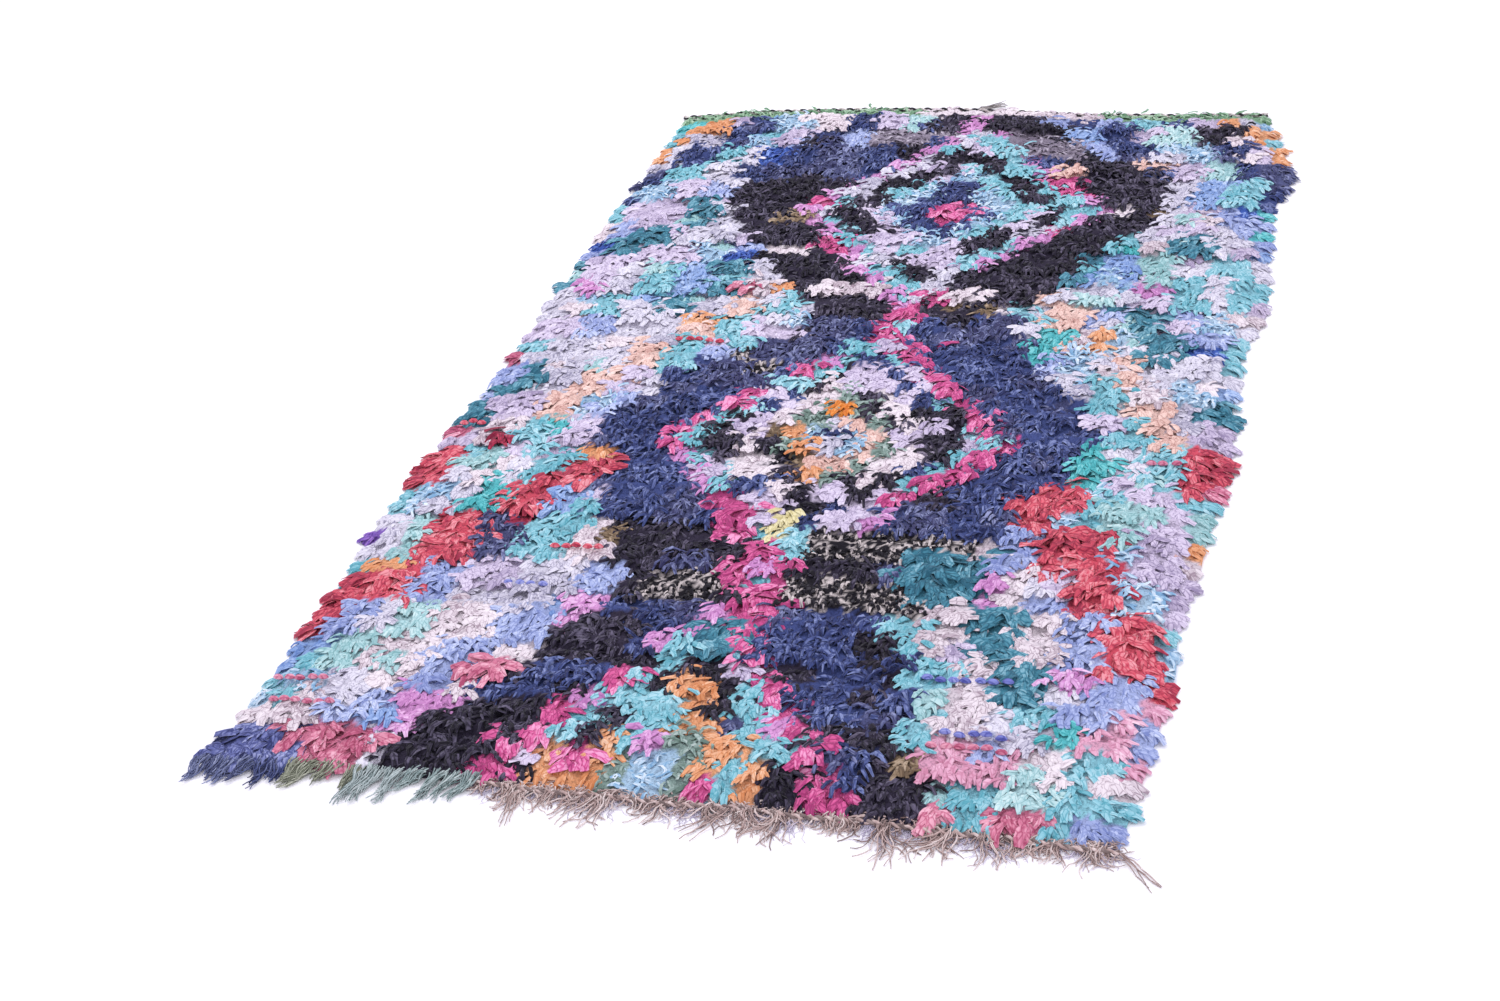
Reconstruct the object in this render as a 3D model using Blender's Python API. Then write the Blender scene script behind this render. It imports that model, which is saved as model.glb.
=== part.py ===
"""Boucherouite rug: a rag pile knotted on a woven ground, a twined cord across the far end and the
warp ends left as a fringe across the near end. It lies flat on z = 0, in metres, with +Z up. Y runs
from the fringed near end to the corded far end."""

import math
import random

import bmesh
import bpy
from mathutils import Matrix, Vector

RUG = "boucherouite_rug"

# Driving dimensions, in metres. X is measured from the rug's middle line, Y from its near end.
MIDDLE_Y = 1.25
CELLS_ACROSS = 38
CELLS_ALONG = 66
PILE_HEIGHT = 0.021
ROW_RIDGE = 0.0035
LUMP = 0.007
SWELL = 0.003
SWELL_ACROSS = 0.47
SWELL_ALONG = 0.61
RIM_HEIGHT = 0.010
RIM_UNEVEN = 0.002
SHOULDER_SHARE = 0.55
EDGE_UNEVEN = 0.004
CELL_SHIFT = 0.005

LOCK_REACH = (0.014, 0.034)
LOCK_LEAN = 0.009
LOCK_TIP_WIDTH = 0.42
LOCK_TIP_HEIGHT = 0.38
LOCK_SHARE = 0.86
LOCK_LEAN_WAVE = 0.31
CORNER_LOCK_REACH = (0.040, 0.068)
CORNER_LOCK_LEAN = 0.0035
CORNER_CELLS = 12

WALLS_PER_CELL = 8
STRIP_DEPTH = 0.008
STRIP_HEIGHT = 0.0045
STRAND_STEPS = 3
STRAND_REACH = (0.040, 0.072)
STRAND_LEAN = 0.006
STRAND_LEAN_WAVE = 0.13
STRAND_TIP_WIDTH = 0.6
STRAND_TIP_HEIGHT = 0.6
STRAND_WANDER = 0.0011

CORD_HALF_WIDE = 0.0048
CORD_HALF_THIN = 0.0031
CORD_STEP = 0.0078
CORD_STEPS_PER_TURN = 8
CORD_SIDES = 4
CORD_OVERRUN = 0.012

GAP = 0.00035
CORD_GAP = 0.001
SAME_PLACE = 0.000001
SHARP_DEGREES = 50
SEED = 11

# The two long edges, which pull in at the ends and belly out where the rows were beaten loosely.
SIDE_EDGES = (
    # from near end, left edge, right edge
    (0.04, -0.712, 0.660),
    (0.20, -0.702, 0.676),
    (0.42, -0.703, 0.690),
    (0.52, -0.704, 0.681),
    (0.66, -0.720, 0.697),
    (0.86, -0.714, 0.702),
    (1.02, -0.704, 0.714),
    (1.18, -0.700, 0.702),
    (1.38, -0.700, 0.699),
    (1.54, -0.706, 0.733),
    (1.72, -0.701, 0.720),
    (1.92, -0.708, 0.706),
    (2.04, -0.702, 0.716),
    (2.16, -0.700, 0.742),
    (2.32, -0.703, 0.702),
    (2.50, -0.706, 0.655),
)

# The two short edges: where the pile stops at the near end, and the bowed far end.
END_EDGES = (
    # from middle line, near edge, far edge
    (-0.71, 0.022, 2.482),
    (-0.60, 0.030, 2.500),
    (-0.50, 0.036, 2.516),
    (-0.30, 0.040, 2.525),
    (-0.05, 0.034, 2.523),
    (0.10, 0.036, 2.506),
    (0.25, 0.034, 2.488),
    (0.45, 0.028, 2.479),
    (0.67, 0.020, 2.484),
)

# Warp ends that were left long.
LONG_STRANDS = (
    # from middle line, reach
    (-0.205, 0.094),
    (0.120, 0.078),
    (0.655, 0.088),
)


def rounded(low, high, share):
    """Between two values with no kink at either end."""
    return low + (high - low) * share * share * (3 - 2 * share)


def read_table(table, column, at):
    """A column of an edge table at a place along it."""
    if at <= table[0][0]:
        return table[0][column]
    for before, after in zip(table, table[1:]):
        if at <= after[0]:
            share = (at - before[0]) / (after[0] - before[0])
            return rounded(before[column], after[column], share)
    return table[-1][column]


def on_outline(across, along):
    """The place on the floor of a share across and a share along the rug."""
    first, last = END_EDGES[0][0], END_EDGES[-1][0]
    near_y = read_table(END_EDGES, 1, first + (last - first) * across)
    far_y = read_table(END_EDGES, 2, first + (last - first) * across)
    y = near_y + (far_y - near_y) * along
    left = read_table(SIDE_EDGES, 1, y)
    right = read_table(SIDE_EDGES, 2, y)
    return left + (right - left) * across, y


def swell(x, y):
    return SWELL * math.sin(math.tau * x / SWELL_ACROSS) * math.cos(math.tau * y / SWELL_ALONG)


def closed_mat(place, columns, rows):
    """A grid laid by place(across, along), with walls down to the floor. Returns it with its walls."""
    bm = bmesh.new()
    bmesh.ops.create_grid(bm, x_segments=columns, y_segments=rows, size=0.5)
    for vert in sorted(bm.verts, key=lambda vert: (round(vert.co.y, 4), round(vert.co.x, 4))):
        vert.co = place(vert.co.x + 0.5, vert.co.y + 0.5)
    rim = [edge for edge in bm.edges if edge.is_boundary]
    drawn = bmesh.ops.extrude_edge_only(bm, edges=rim)["geom"]
    for vert in drawn:
        if isinstance(vert, bmesh.types.BMVert):
            vert.co.z = 0.0
    return bm, in_order(face for face in drawn if isinstance(face, bmesh.types.BMFace))


def in_order(walls):
    """The walls by their places, so that each gets the same throw of the dice every time."""
    middles = {wall: wall.calc_center_median() for wall in walls}
    return sorted(middles, key=lambda wall: (round(middles[wall].x, 5), round(middles[wall].y, 5)))


def grow_lock(bm, root, reach, lean, tip_width, tip_height, wander=(0.0, 0.0)):
    """Draws a tapering lock out of a wall face, its underside on the floor, in one step per wander."""
    roots = [vert.co.copy() for vert in root.verts]
    foot = sum(roots, Vector()) / len(roots)
    foot.z = 0.0
    spread = max(roots, key=lambda co: (co - foot).xy.length) - foot
    along_wall = Vector((spread.x, spread.y, 0.0)).normalized()
    outward = Vector((along_wall.y, -along_wall.x, 0.0))
    if outward.dot(foot - Vector((0.0, MIDDLE_Y, 0.0))) < 0:
        outward.negate()
    if along_wall.dot(Vector((1.0, 1.0, 0.0))) < 0:
        along_wall.negate()
    face = root
    for number, sideways in enumerate(wander, start=1):
        share = number / len(wander)
        face = bmesh.ops.extrude_discrete_faces(bm, faces=[face])["faces"][0]
        width = 1 + (tip_width - 1) * share
        height = 1 + (tip_height - 1) * share
        drift = lean * share * share + sideways
        for vert, at in zip(face.verts, roots):
            offset = (at - foot).dot(along_wall)
            vert.co = foot + outward * reach * share + along_wall * (offset * width + drift)
            vert.co.z = at.z * height


def finish_mat(bm, name, material):
    """Closes the underside with one flat face and makes the object."""
    under = [edge for edge in bm.edges if edge.is_boundary]
    bmesh.ops.contextual_create(bm, geom=under)
    bmesh.ops.triangulate(bm, faces=list(bm.faces), ngon_method="BEAUTY")
    bmesh.ops.recalc_face_normals(bm, faces=list(bm.faces))
    return add_object(bm, name, material)


def add_object(bm, name, material):
    mesh = bpy.data.meshes.new(name)
    bm.to_mesh(mesh)
    bm.free()
    mesh.shade_smooth()
    mesh.set_sharp_from_angle(angle=math.radians(SHARP_DEGREES))
    mesh.materials.append(material)
    piece = bpy.data.objects.new(name, mesh)
    bpy.data.collections[RUG].objects.link(piece)
    return piece


def cloth_material(name, colour, roughness):
    material = bpy.data.materials.new(name)
    material.use_nodes = True
    shader = material.node_tree.nodes["Principled BSDF"]
    shader.inputs["Base Color"].default_value = (*colour, 1.0)
    shader.inputs["Roughness"].default_value = roughness
    shader.inputs["Metallic"].default_value = 0.0
    return material


def faces_out(wall, direction):
    """True for a wall that looks mostly in this direction from the middle of the rug."""
    places = [vert.co for vert in wall.verts]
    run_x = max(co.x for co in places) - min(co.x for co in places)
    run_y = max(co.y for co in places) - min(co.y for co in places)
    sideways = run_x < run_y
    middle = wall.calc_center_median()
    if direction in ("left", "right"):
        return sideways and (middle.x < 0) == (direction == "left")
    return not sideways and (middle.y < MIDDLE_Y) == (direction == "near")


def is_corner_wall(wall):
    """True for a near wall of the left corner, where the last row's rags hang over the end."""
    corner_end = near_edge(CORNER_CELLS / CELLS_ACROSS)[0]
    return faces_out(wall, "near") and wall.calc_center_median().x < corner_end


def split_walls(bm, walls):
    """Halves walls across their run, for rags half as wide, and returns the halves."""
    levels = {edge for wall in walls for edge in wall.edges if rise(edge) < RIM_HEIGHT / 2}
    bmesh.ops.subdivide_edges(bm, edges=list(levels), cuts=1, use_grid_fill=True)
    uprights = [face for face in bm.faces if is_corner_wall(face) and stands_up(face)]
    return in_order(face for face in uprights if len(face.verts) == 4)


def rise(edge):
    return abs(edge.verts[0].co.z - edge.verts[1].co.z)


def stands_up(face):
    """True for a wall, which has edges that rise straight up from the floor."""
    return any((edge.verts[0].co - edge.verts[1].co).xy.length < SAME_PLACE for edge in face.edges)


def rug_pile():
    """The knotted pile with its ground: a lumpy slab with rag locks at both sides and one corner."""
    dice = random.Random(SEED)

    def place(across, along):
        x, y = on_outline(across, along)
        inset = min(
            across * CELLS_ACROSS,
            (1 - across) * CELLS_ACROSS,
            along * CELLS_ALONG,
            (1 - along) * CELLS_ALONG,
        )
        ridge = ROW_RIDGE if round(along * CELLS_ALONG) % 2 else -ROW_RIDGE
        full = PILE_HEIGHT + ridge + swell(x, y) + dice.uniform(-LUMP, LUMP)
        at_rim = RIM_HEIGHT + dice.uniform(-RIM_UNEVEN, RIM_UNEVEN)
        aside = dice.uniform(-1, 1), dice.uniform(-1, 1)
        if inset > 1.5:
            return x + aside[0] * CELL_SHIFT, y + aside[1] * CELL_SHIFT, full
        if inset > 0.5:
            return x, y, at_rim + (full - at_rim) * SHOULDER_SHARE
        if 0 < round(along * CELLS_ALONG) < CELLS_ALONG:
            x += aside[0] * EDGE_UNEVEN
        return x, y, at_rim

    bm, walls = closed_mat(place, CELLS_ACROSS, CELLS_ALONG)
    at_corner = [wall for wall in walls if is_corner_wall(wall)]
    at_side = [wall for wall in walls if faces_out(wall, "left") or faces_out(wall, "right")]
    for wall in at_side + split_walls(bm, at_corner):
        middle = wall.calc_center_median()
        lean = math.sin(math.tau * (middle.x + middle.y) / LOCK_LEAN_WAVE)
        if is_corner_wall(wall):
            reach = dice.uniform(*CORNER_LOCK_REACH)
            lean *= CORNER_LOCK_LEAN
        else:
            reach = dice.uniform(*LOCK_REACH)
            lean *= LOCK_LEAN
        if is_corner_wall(wall) or dice.random() < LOCK_SHARE:
            grow_lock(bm, wall, reach, lean, LOCK_TIP_WIDTH, LOCK_TIP_HEIGHT)
    return finish_mat(bm, "rug_pile", cloth_material("rag_pile", (0.42, 0.46, 0.58), 0.92))


def near_edge(across):
    """The slab's near edge, straight between its corner points as the slab's own wall is."""
    cell = min(int(across * CELLS_ACROSS), CELLS_ACROSS - 1)
    share = across * CELLS_ACROSS - cell
    ends = [on_outline((cell + end) / CELLS_ACROSS, 0.0) for end in (0, 1)]
    return [low + (high - low) * share for low, high in zip(*ends)]


def far_edge(x):
    """How far up the slab's far edge lies, straight between its corner points, and level past them."""
    points = [on_outline(cell / CELLS_ACROSS, 1.0) for cell in range(CELLS_ACROSS + 1)]
    if x <= points[0][0]:
        return points[0][1]
    for before, after in zip(points, points[1:]):
        if x <= after[0]:
            return before[1] + (after[1] - before[1]) * (x - before[0]) / (after[0] - before[0])
    return points[-1][1]


def warp_fringe():
    """The warp ends: a narrow strip along the near edge, with a strand from every second wall."""
    dice = random.Random(SEED + 1)
    first = CORNER_CELLS * WALLS_PER_CELL + 1
    last = CELLS_ACROSS * WALLS_PER_CELL

    def place(across, along):
        wall = first + round(across * (last - first))
        x, y = near_edge(wall / last)
        return x, y - GAP - STRIP_DEPTH * (1 - along), STRIP_HEIGHT

    bm, walls = closed_mat(place, last - first, 1)
    roots = [wall for wall in walls if faces_out(wall, "near") and on_front(wall)][::2]
    reaches = {root: dice.uniform(*STRAND_REACH) for root in roots}
    for at, reach in LONG_STRANDS:
        reaches[min(roots, key=lambda wall: abs(wall.calc_center_median().x - at))] = reach
    for root, reach in reaches.items():
        x = root.calc_center_median().x
        lean = STRAND_LEAN * math.sin(math.tau * x / STRAND_LEAN_WAVE)
        wander = [dice.uniform(-STRAND_WANDER, STRAND_WANDER) for _ in range(STRAND_STEPS)]
        grow_lock(bm, root, reach, lean, STRAND_TIP_WIDTH, STRAND_TIP_HEIGHT, wander)
    return finish_mat(bm, "warp_fringe", cloth_material("warp_yarn", (0.34, 0.30, 0.30), 0.95))


def on_front(wall):
    """True for a wall on the strip's near side, which is a whole depth from the pile's edge."""
    middle = wall.calc_center_median()
    left, right = near_edge(0.0)[0], near_edge(1.0)[0]
    return near_edge((middle.x - left) / (right - left))[1] - middle.y > STRIP_DEPTH / 2


def end_cord():
    """The twined cord along the far edge: two plies as a flat section that turns along its run."""
    left = on_outline(0.0, 1.0)[0] - CORD_OVERRUN
    right = on_outline(1.0, 1.0)[0] + CORD_OVERRUN
    steps = round((right - left) / CORD_STEP)
    bm = bmesh.new()
    bmesh.ops.create_cone(
        bm, cap_ends=True, segments=CORD_SIDES, radius1=1.0, radius2=1.0, depth=2.0
    )
    runs = [edge for edge in bm.edges if abs(edge.verts[0].co.z - edge.verts[1].co.z) > 1]
    bmesh.ops.subdivide_edges(bm, edges=runs, cuts=steps - 1, use_grid_fill=True)
    for vert in bm.verts:
        share = (vert.co.z + 1) / 2
        x = left + (right - left) * share
        turn = math.tau * share * steps / CORD_STEPS_PER_TURN
        corner = math.atan2(vert.co.y, vert.co.x)
        flat = Vector((math.cos(corner) * CORD_HALF_WIDE, math.sin(corner) * CORD_HALF_THIN))
        flat.rotate(Matrix.Rotation(turn, 2))
        y = far_edge(x) + CORD_GAP + CORD_HALF_WIDE + flat.x
        vert.co = x, y, CORD_HALF_WIDE + flat.y
    bmesh.ops.recalc_face_normals(bm, faces=list(bm.faces))
    return add_object(bm, "end_cord", cloth_material("twined_wool", (0.16, 0.15, 0.17), 0.9))


def centre_on_origin(pieces):
    """Moves the pieces so that the middle of the rug's outline on the floor is the origin."""
    corners = [vert.co for piece in pieces for vert in piece.data.vertices]
    middle_x = (min(co.x for co in corners) + max(co.x for co in corners)) / 2
    middle_y = (min(co.y for co in corners) + max(co.y for co in corners)) / 2
    lowest = min(co.z for co in corners)
    for piece in pieces:
        piece.data.transform(Matrix.Translation((-middle_x, -middle_y, -lowest)))


def main():
    for old in list(bpy.data.objects):
        bpy.data.objects.remove(old, do_unlink=True)
    bpy.context.scene.collection.children.link(bpy.data.collections.new(RUG))
    centre_on_origin([rug_pile(), warp_fringe(), end_cord()])


main()
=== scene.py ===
import math
import random
from collections import defaultdict, namedtuple

import bpy
import numpy as np
from mathutils import Matrix, Vector
from mathutils.bvhtree import BVHTree


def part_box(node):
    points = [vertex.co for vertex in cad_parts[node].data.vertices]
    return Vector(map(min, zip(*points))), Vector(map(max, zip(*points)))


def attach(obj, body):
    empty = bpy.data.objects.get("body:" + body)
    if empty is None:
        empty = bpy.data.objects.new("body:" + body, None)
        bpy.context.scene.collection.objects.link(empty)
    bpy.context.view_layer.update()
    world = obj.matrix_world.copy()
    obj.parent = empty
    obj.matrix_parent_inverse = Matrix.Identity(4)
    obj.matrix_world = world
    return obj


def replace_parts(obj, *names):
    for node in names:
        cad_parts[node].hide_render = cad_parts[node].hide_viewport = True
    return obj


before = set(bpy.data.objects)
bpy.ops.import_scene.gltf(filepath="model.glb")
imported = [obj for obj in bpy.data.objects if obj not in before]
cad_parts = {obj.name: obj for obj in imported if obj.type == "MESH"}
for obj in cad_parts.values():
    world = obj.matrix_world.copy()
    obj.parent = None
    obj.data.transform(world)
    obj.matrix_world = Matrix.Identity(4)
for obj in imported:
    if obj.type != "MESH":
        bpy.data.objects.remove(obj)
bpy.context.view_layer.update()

MM = 0.001
MIDDLE_SHADE = 0.5
dice = np.random.default_rng(seed=29)

# The rug's own measures are in millimetres: x from its left side, y from its near end. The far cord's
# left end and far side tie them to the frame.
HALF_WIDTH = 700
CORD_LEFT_END = -717.9
CORD_FAR_SIDE = 2535.6
cord_low, cord_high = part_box("end_cord")
MIDDLE_X = cord_low.x - CORD_LEFT_END * MM
NEAR_Y = cord_high.y - CORD_FAR_SIDE * MM

# The same uneven edges as the solid slab's.
SIDE_EDGES = np.array((
    # y, left edge, right edge
    (40, -12, 1360),
    (200, -2, 1376),
    (420, -3, 1390),
    (520, -4, 1381),
    (660, -20, 1397),
    (860, -14, 1402),
    (1020, -4, 1414),
    (1180, 0, 1402),
    (1380, 0, 1399),
    (1540, -6, 1433),
    (1720, -1, 1420),
    (1920, -8, 1406),
    (2040, -2, 1416),
    (2160, 0, 1442),
    (2320, -3, 1402),
    (2500, -6, 1355),
))
END_EDGES = np.array((
    # x, near edge, far edge
    (-10, 22, 2482),
    (100, 30, 2500),
    (200, 36, 2516),
    (400, 40, 2525),
    (650, 34, 2523),
    (800, 36, 2506),
    (950, 34, 2488),
    (1150, 28, 2479),
    (1370, 20, 2484),
))

KNOTS_ACROSS = 40
KNOT_ROWS = 54
KNOT_SHIFT = 7
ROW_SHIFT = 6

# The pattern. Side fields are blocks in runs that step outward towards the near end: a run is told by a
# block's distance from the axis plus a share of how far along the rug its row is.
AXIS = 735
STEP_OUT = 0.6
BAND_DEPTH = 50
BAND_GREEN = ((-50, 565), (1000, 1420))
CLUMP = (70, 92)
BLOCK_ROWS = {
    "left": (
        2480, 2388, 2290, 2190, 2100, 1990, 1880, 1790, 1690, 1560, 1455, 1350,
        1245, 1140, 1040, 935, 840, 705, 580, 465, 350, 240, 130, -20,
    ),
    "right": (
        2480, 2388, 2290, 2200, 2110, 1990, 1865, 1755, 1645, 1540, 1435, 1325,
        1235, 1120, 1015, 900, 830, 760, 640, 522, 400, 300, 190, 60,
    ),
}

Run = namedtuple("Run", "distance dye low_dye below", defaults=(None, 0))
RUNS = {
    "left": (
        # distance, dye, and for some the dye of a lower stretch and where that starts
        Run(2153, "turquoise"),
        Run(2082, "apricot"),
        Run(2037, "lilac"),
        Run(1983, "navy"),
        Run(1903, "turquoise"),
        Run(1838, "lilac"),
        Run(1757, "navy", "periwinkle", 2120),
        Run(1690, "periwinkle", "teal", 2060),
        Run(1625, "turquoise", "white", 2060),
        Run(1562, "white"),
        Run(1490, "turquoise"),
        Run(1432, "periwinkle", "lilac", 1500),
        Run(1370, "teal"),
        Run(1296, "white"),
        Run(1228, "peach", "red", 965),
        Run(1152, "turquoise"),
        Run(1100, "lilac"),
        Run(1026, "turquoise"),
        Run(962, "red"),
        Run(899, "periwinkle"),
        Run(805, "turquoise"),
        Run(712, "cream"),
        Run(615, "periwinkle"),
        Run(553, "orchid", "cream", 420),
        Run(470, "cream"),
    ),
    "right": (
        Run(2083, "turquoise"),
        Run(2022, "apricot"),
        Run(1965, "lilac"),
        Run(1910, "navy"),
        Run(1845, "turquoise"),
        Run(1772, "lilac", "periwinkle", 2120),
        Run(1702, "navy", "white", 2120),
        Run(1628, "periwinkle", "teal", 2060),
        Run(1560, "white"),
        Run(1495, "turquoise"),
        Run(1430, "periwinkle", "lilac", 1500),
        Run(1358, "teal"),
        Run(1288, "white"),
        Run(1220, "peach", "red", 1010),
        Run(1150, "turquoise"),
        Run(1085, "lilac"),
        Run(1022, "turquoise"),
        Run(938, "ice"),
        Run(872, "red"),
        Run(808, "periwinkle"),
        Run(727, "cream", "pink", 300),
        Run(642, "teal", "turquoise", 300),
        Run(578, "cream"),
        Run(500, "turquoise"),
        Run(428, "pink"),
    ),
}
Mate = namedtuple("Mate", "share dye")
MATES = {
    # a share of the blocks of a lot, and the lot that they are knotted in instead
    "white": (Mate(0.20, "lilac"), Mate(0.10, "periwinkle")),
    "lilac": (Mate(0.32, "white"), Mate(0.08, "cream"), Mate(0.14, "periwinkle")),
    "cream": (Mate(0.22, "white"),),
    "peach": (Mate(0.15, "cream"),),
    "turquoise": (Mate(0.18, "mint"), Mate(0.10, "aqua"), Mate(0.14, "ice"), Mate(0.12, "lilac")),
    "periwinkle": (Mate(0.26, "sky"), Mate(0.12, "lilac")),
    "teal": (Mate(0.26, "white"), Mate(0.10, "turquoise")),
}
HANDFUL = (54, 46)
STRAY_SHARE = 0.16
ODDS_AND_ENDS = ("cream", "pink", "turquoise", "rose", "cream", "mint", "periwinkle", "white")
ODDS_BELOW = 330
ODDS_SHARE = 0.38
STRAYS = {
    # lots that turn up in a handful of knots within a block
    "white": ("lilac", "cream", "ice", "mint"),
    "lilac": ("white", "periwinkle", "orchid", "cream"),
    "cream": ("white", "peach", "lilac"),
    "peach": ("cream", "apricot", "white"),
    "apricot": ("peach", "orange", "cream"),
    "turquoise": ("mint", "aqua", "lilac", "ice", "white"),
    "teal": ("turquoise", "sky", "mint"),
    "periwinkle": ("sky", "royal", "lilac", "white"),
    "ice": ("white", "mint", "turquoise"),
    "red": ("crimson", "rose", "apricot"),
    "magenta": ("orchid", "rose", "crimson"),
    "orchid": ("lilac", "magenta"),
    "pink": ("cream", "rose"),
    "navy": ("slate", "black", "slate"),
    "black": ("black", "tan", "black", "black", "cream"),
}

# The dark field's half width about the axis, left and right, by its distance from the near end.
DARK_FIELD = np.array((
    # y, left, right
    (-10, 470, 385),
    (100, 455, 345),
    (200, 395, 305),
    (300, 355, 285),
    (420, 285, 230),
    (500, 235, 175),
    (600, 275, 215),
    (750, 345, 355),
    (850, 385, 375),
    (960, 445, 430),
    (1040, 478, 450),
    (1150, 415, 395),
    (1240, 365, 345),
    (1310, 260, 275),
    (1400, 175, 265),
    (1500, 175, 235),
    (1600, 235, 290),
    (1700, 325, 335),
    (1800, 375, 370),
    (1850, 425, 400),
    (1920, 465, 450),
    (2050, 478, 470),
    (2130, 445, 445),
    (2200, 420, 345),
    (2300, 250, 230),
    (2380, 190, 190),
    (2460, 110, 110),
))
Field = namedtuple("Field", "above dye other share")
FIELDS = (
    # above y, dye, other dye, its share
    Field(2120, "black", "navy", 0.20),
    Field(1470, "black", "navy", 0.03),
    Field(727, "navy", "slate", 0.14),
    Field(500, "black", "slate", 0.08),
    Field(230, "navy", "black", 0.20),
    Field(-90, "black", "navy", 0.08),
)

RING_CLUMP = (62, 70)
Ring = namedtuple("Ring", "out_to dye other share", defaults=(None, 0))
Lozenge = namedtuple("Lozenge", "x y half_width half_height rings")
LOZENGES = (
    Lozenge(745, 1955, 335, 458, (
        # out to a share of the half size, dye, and for most another dye and its share
        Ring(0.06, "white"),
        Ring(0.16, "magenta", "pink", 0.25),
        Ring(0.31, "navy", "slate", 0.1),
        Ring(0.45, "ice"),
        Ring(0.59, "turquoise", "lilac", 0.40),
        Ring(0.75, "black", "lilac", 0.24),
        Ring(0.91, "turquoise", "white", 0.30),
        Ring(1.03, "orchid", "magenta", 0.40),
    )),
    Lozenge(728, 1010, 312, 425, (
        Ring(0.09, "navy"),
        Ring(0.18, "ice", "white", 0.5),
        Ring(0.28, "peach", "apricot", 0.4),
        Ring(0.38, "sage", "tan", 0.10),
        Ring(0.46, "black", "sage", 0.35),
        Ring(0.66, "cream", "lilac", 0.35),
        Ring(0.77, "navy", "black", 0.35),
        Ring(0.92, "turquoise", "lilac", 0.20),
        Ring(1.02, "magenta", "orchid", 0.38),
    )),
    Lozenge(688, -50, 332, 545, (
        Ring(0.20, "ice", "white", 0.4),
        Ring(0.40, "sage", "ice", 0.3),
        Ring(0.49, "turquoise", "orchid", 0.4),
        Ring(0.68, "apricot", "turquoise", 0.25),
        Ring(0.80, "black", "slate", 0.2),
        Ring(0.92, "turquoise", "lilac", 0.3),
        Ring(1.06, "magenta", "orchid", 0.35),
    )),
)

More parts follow.
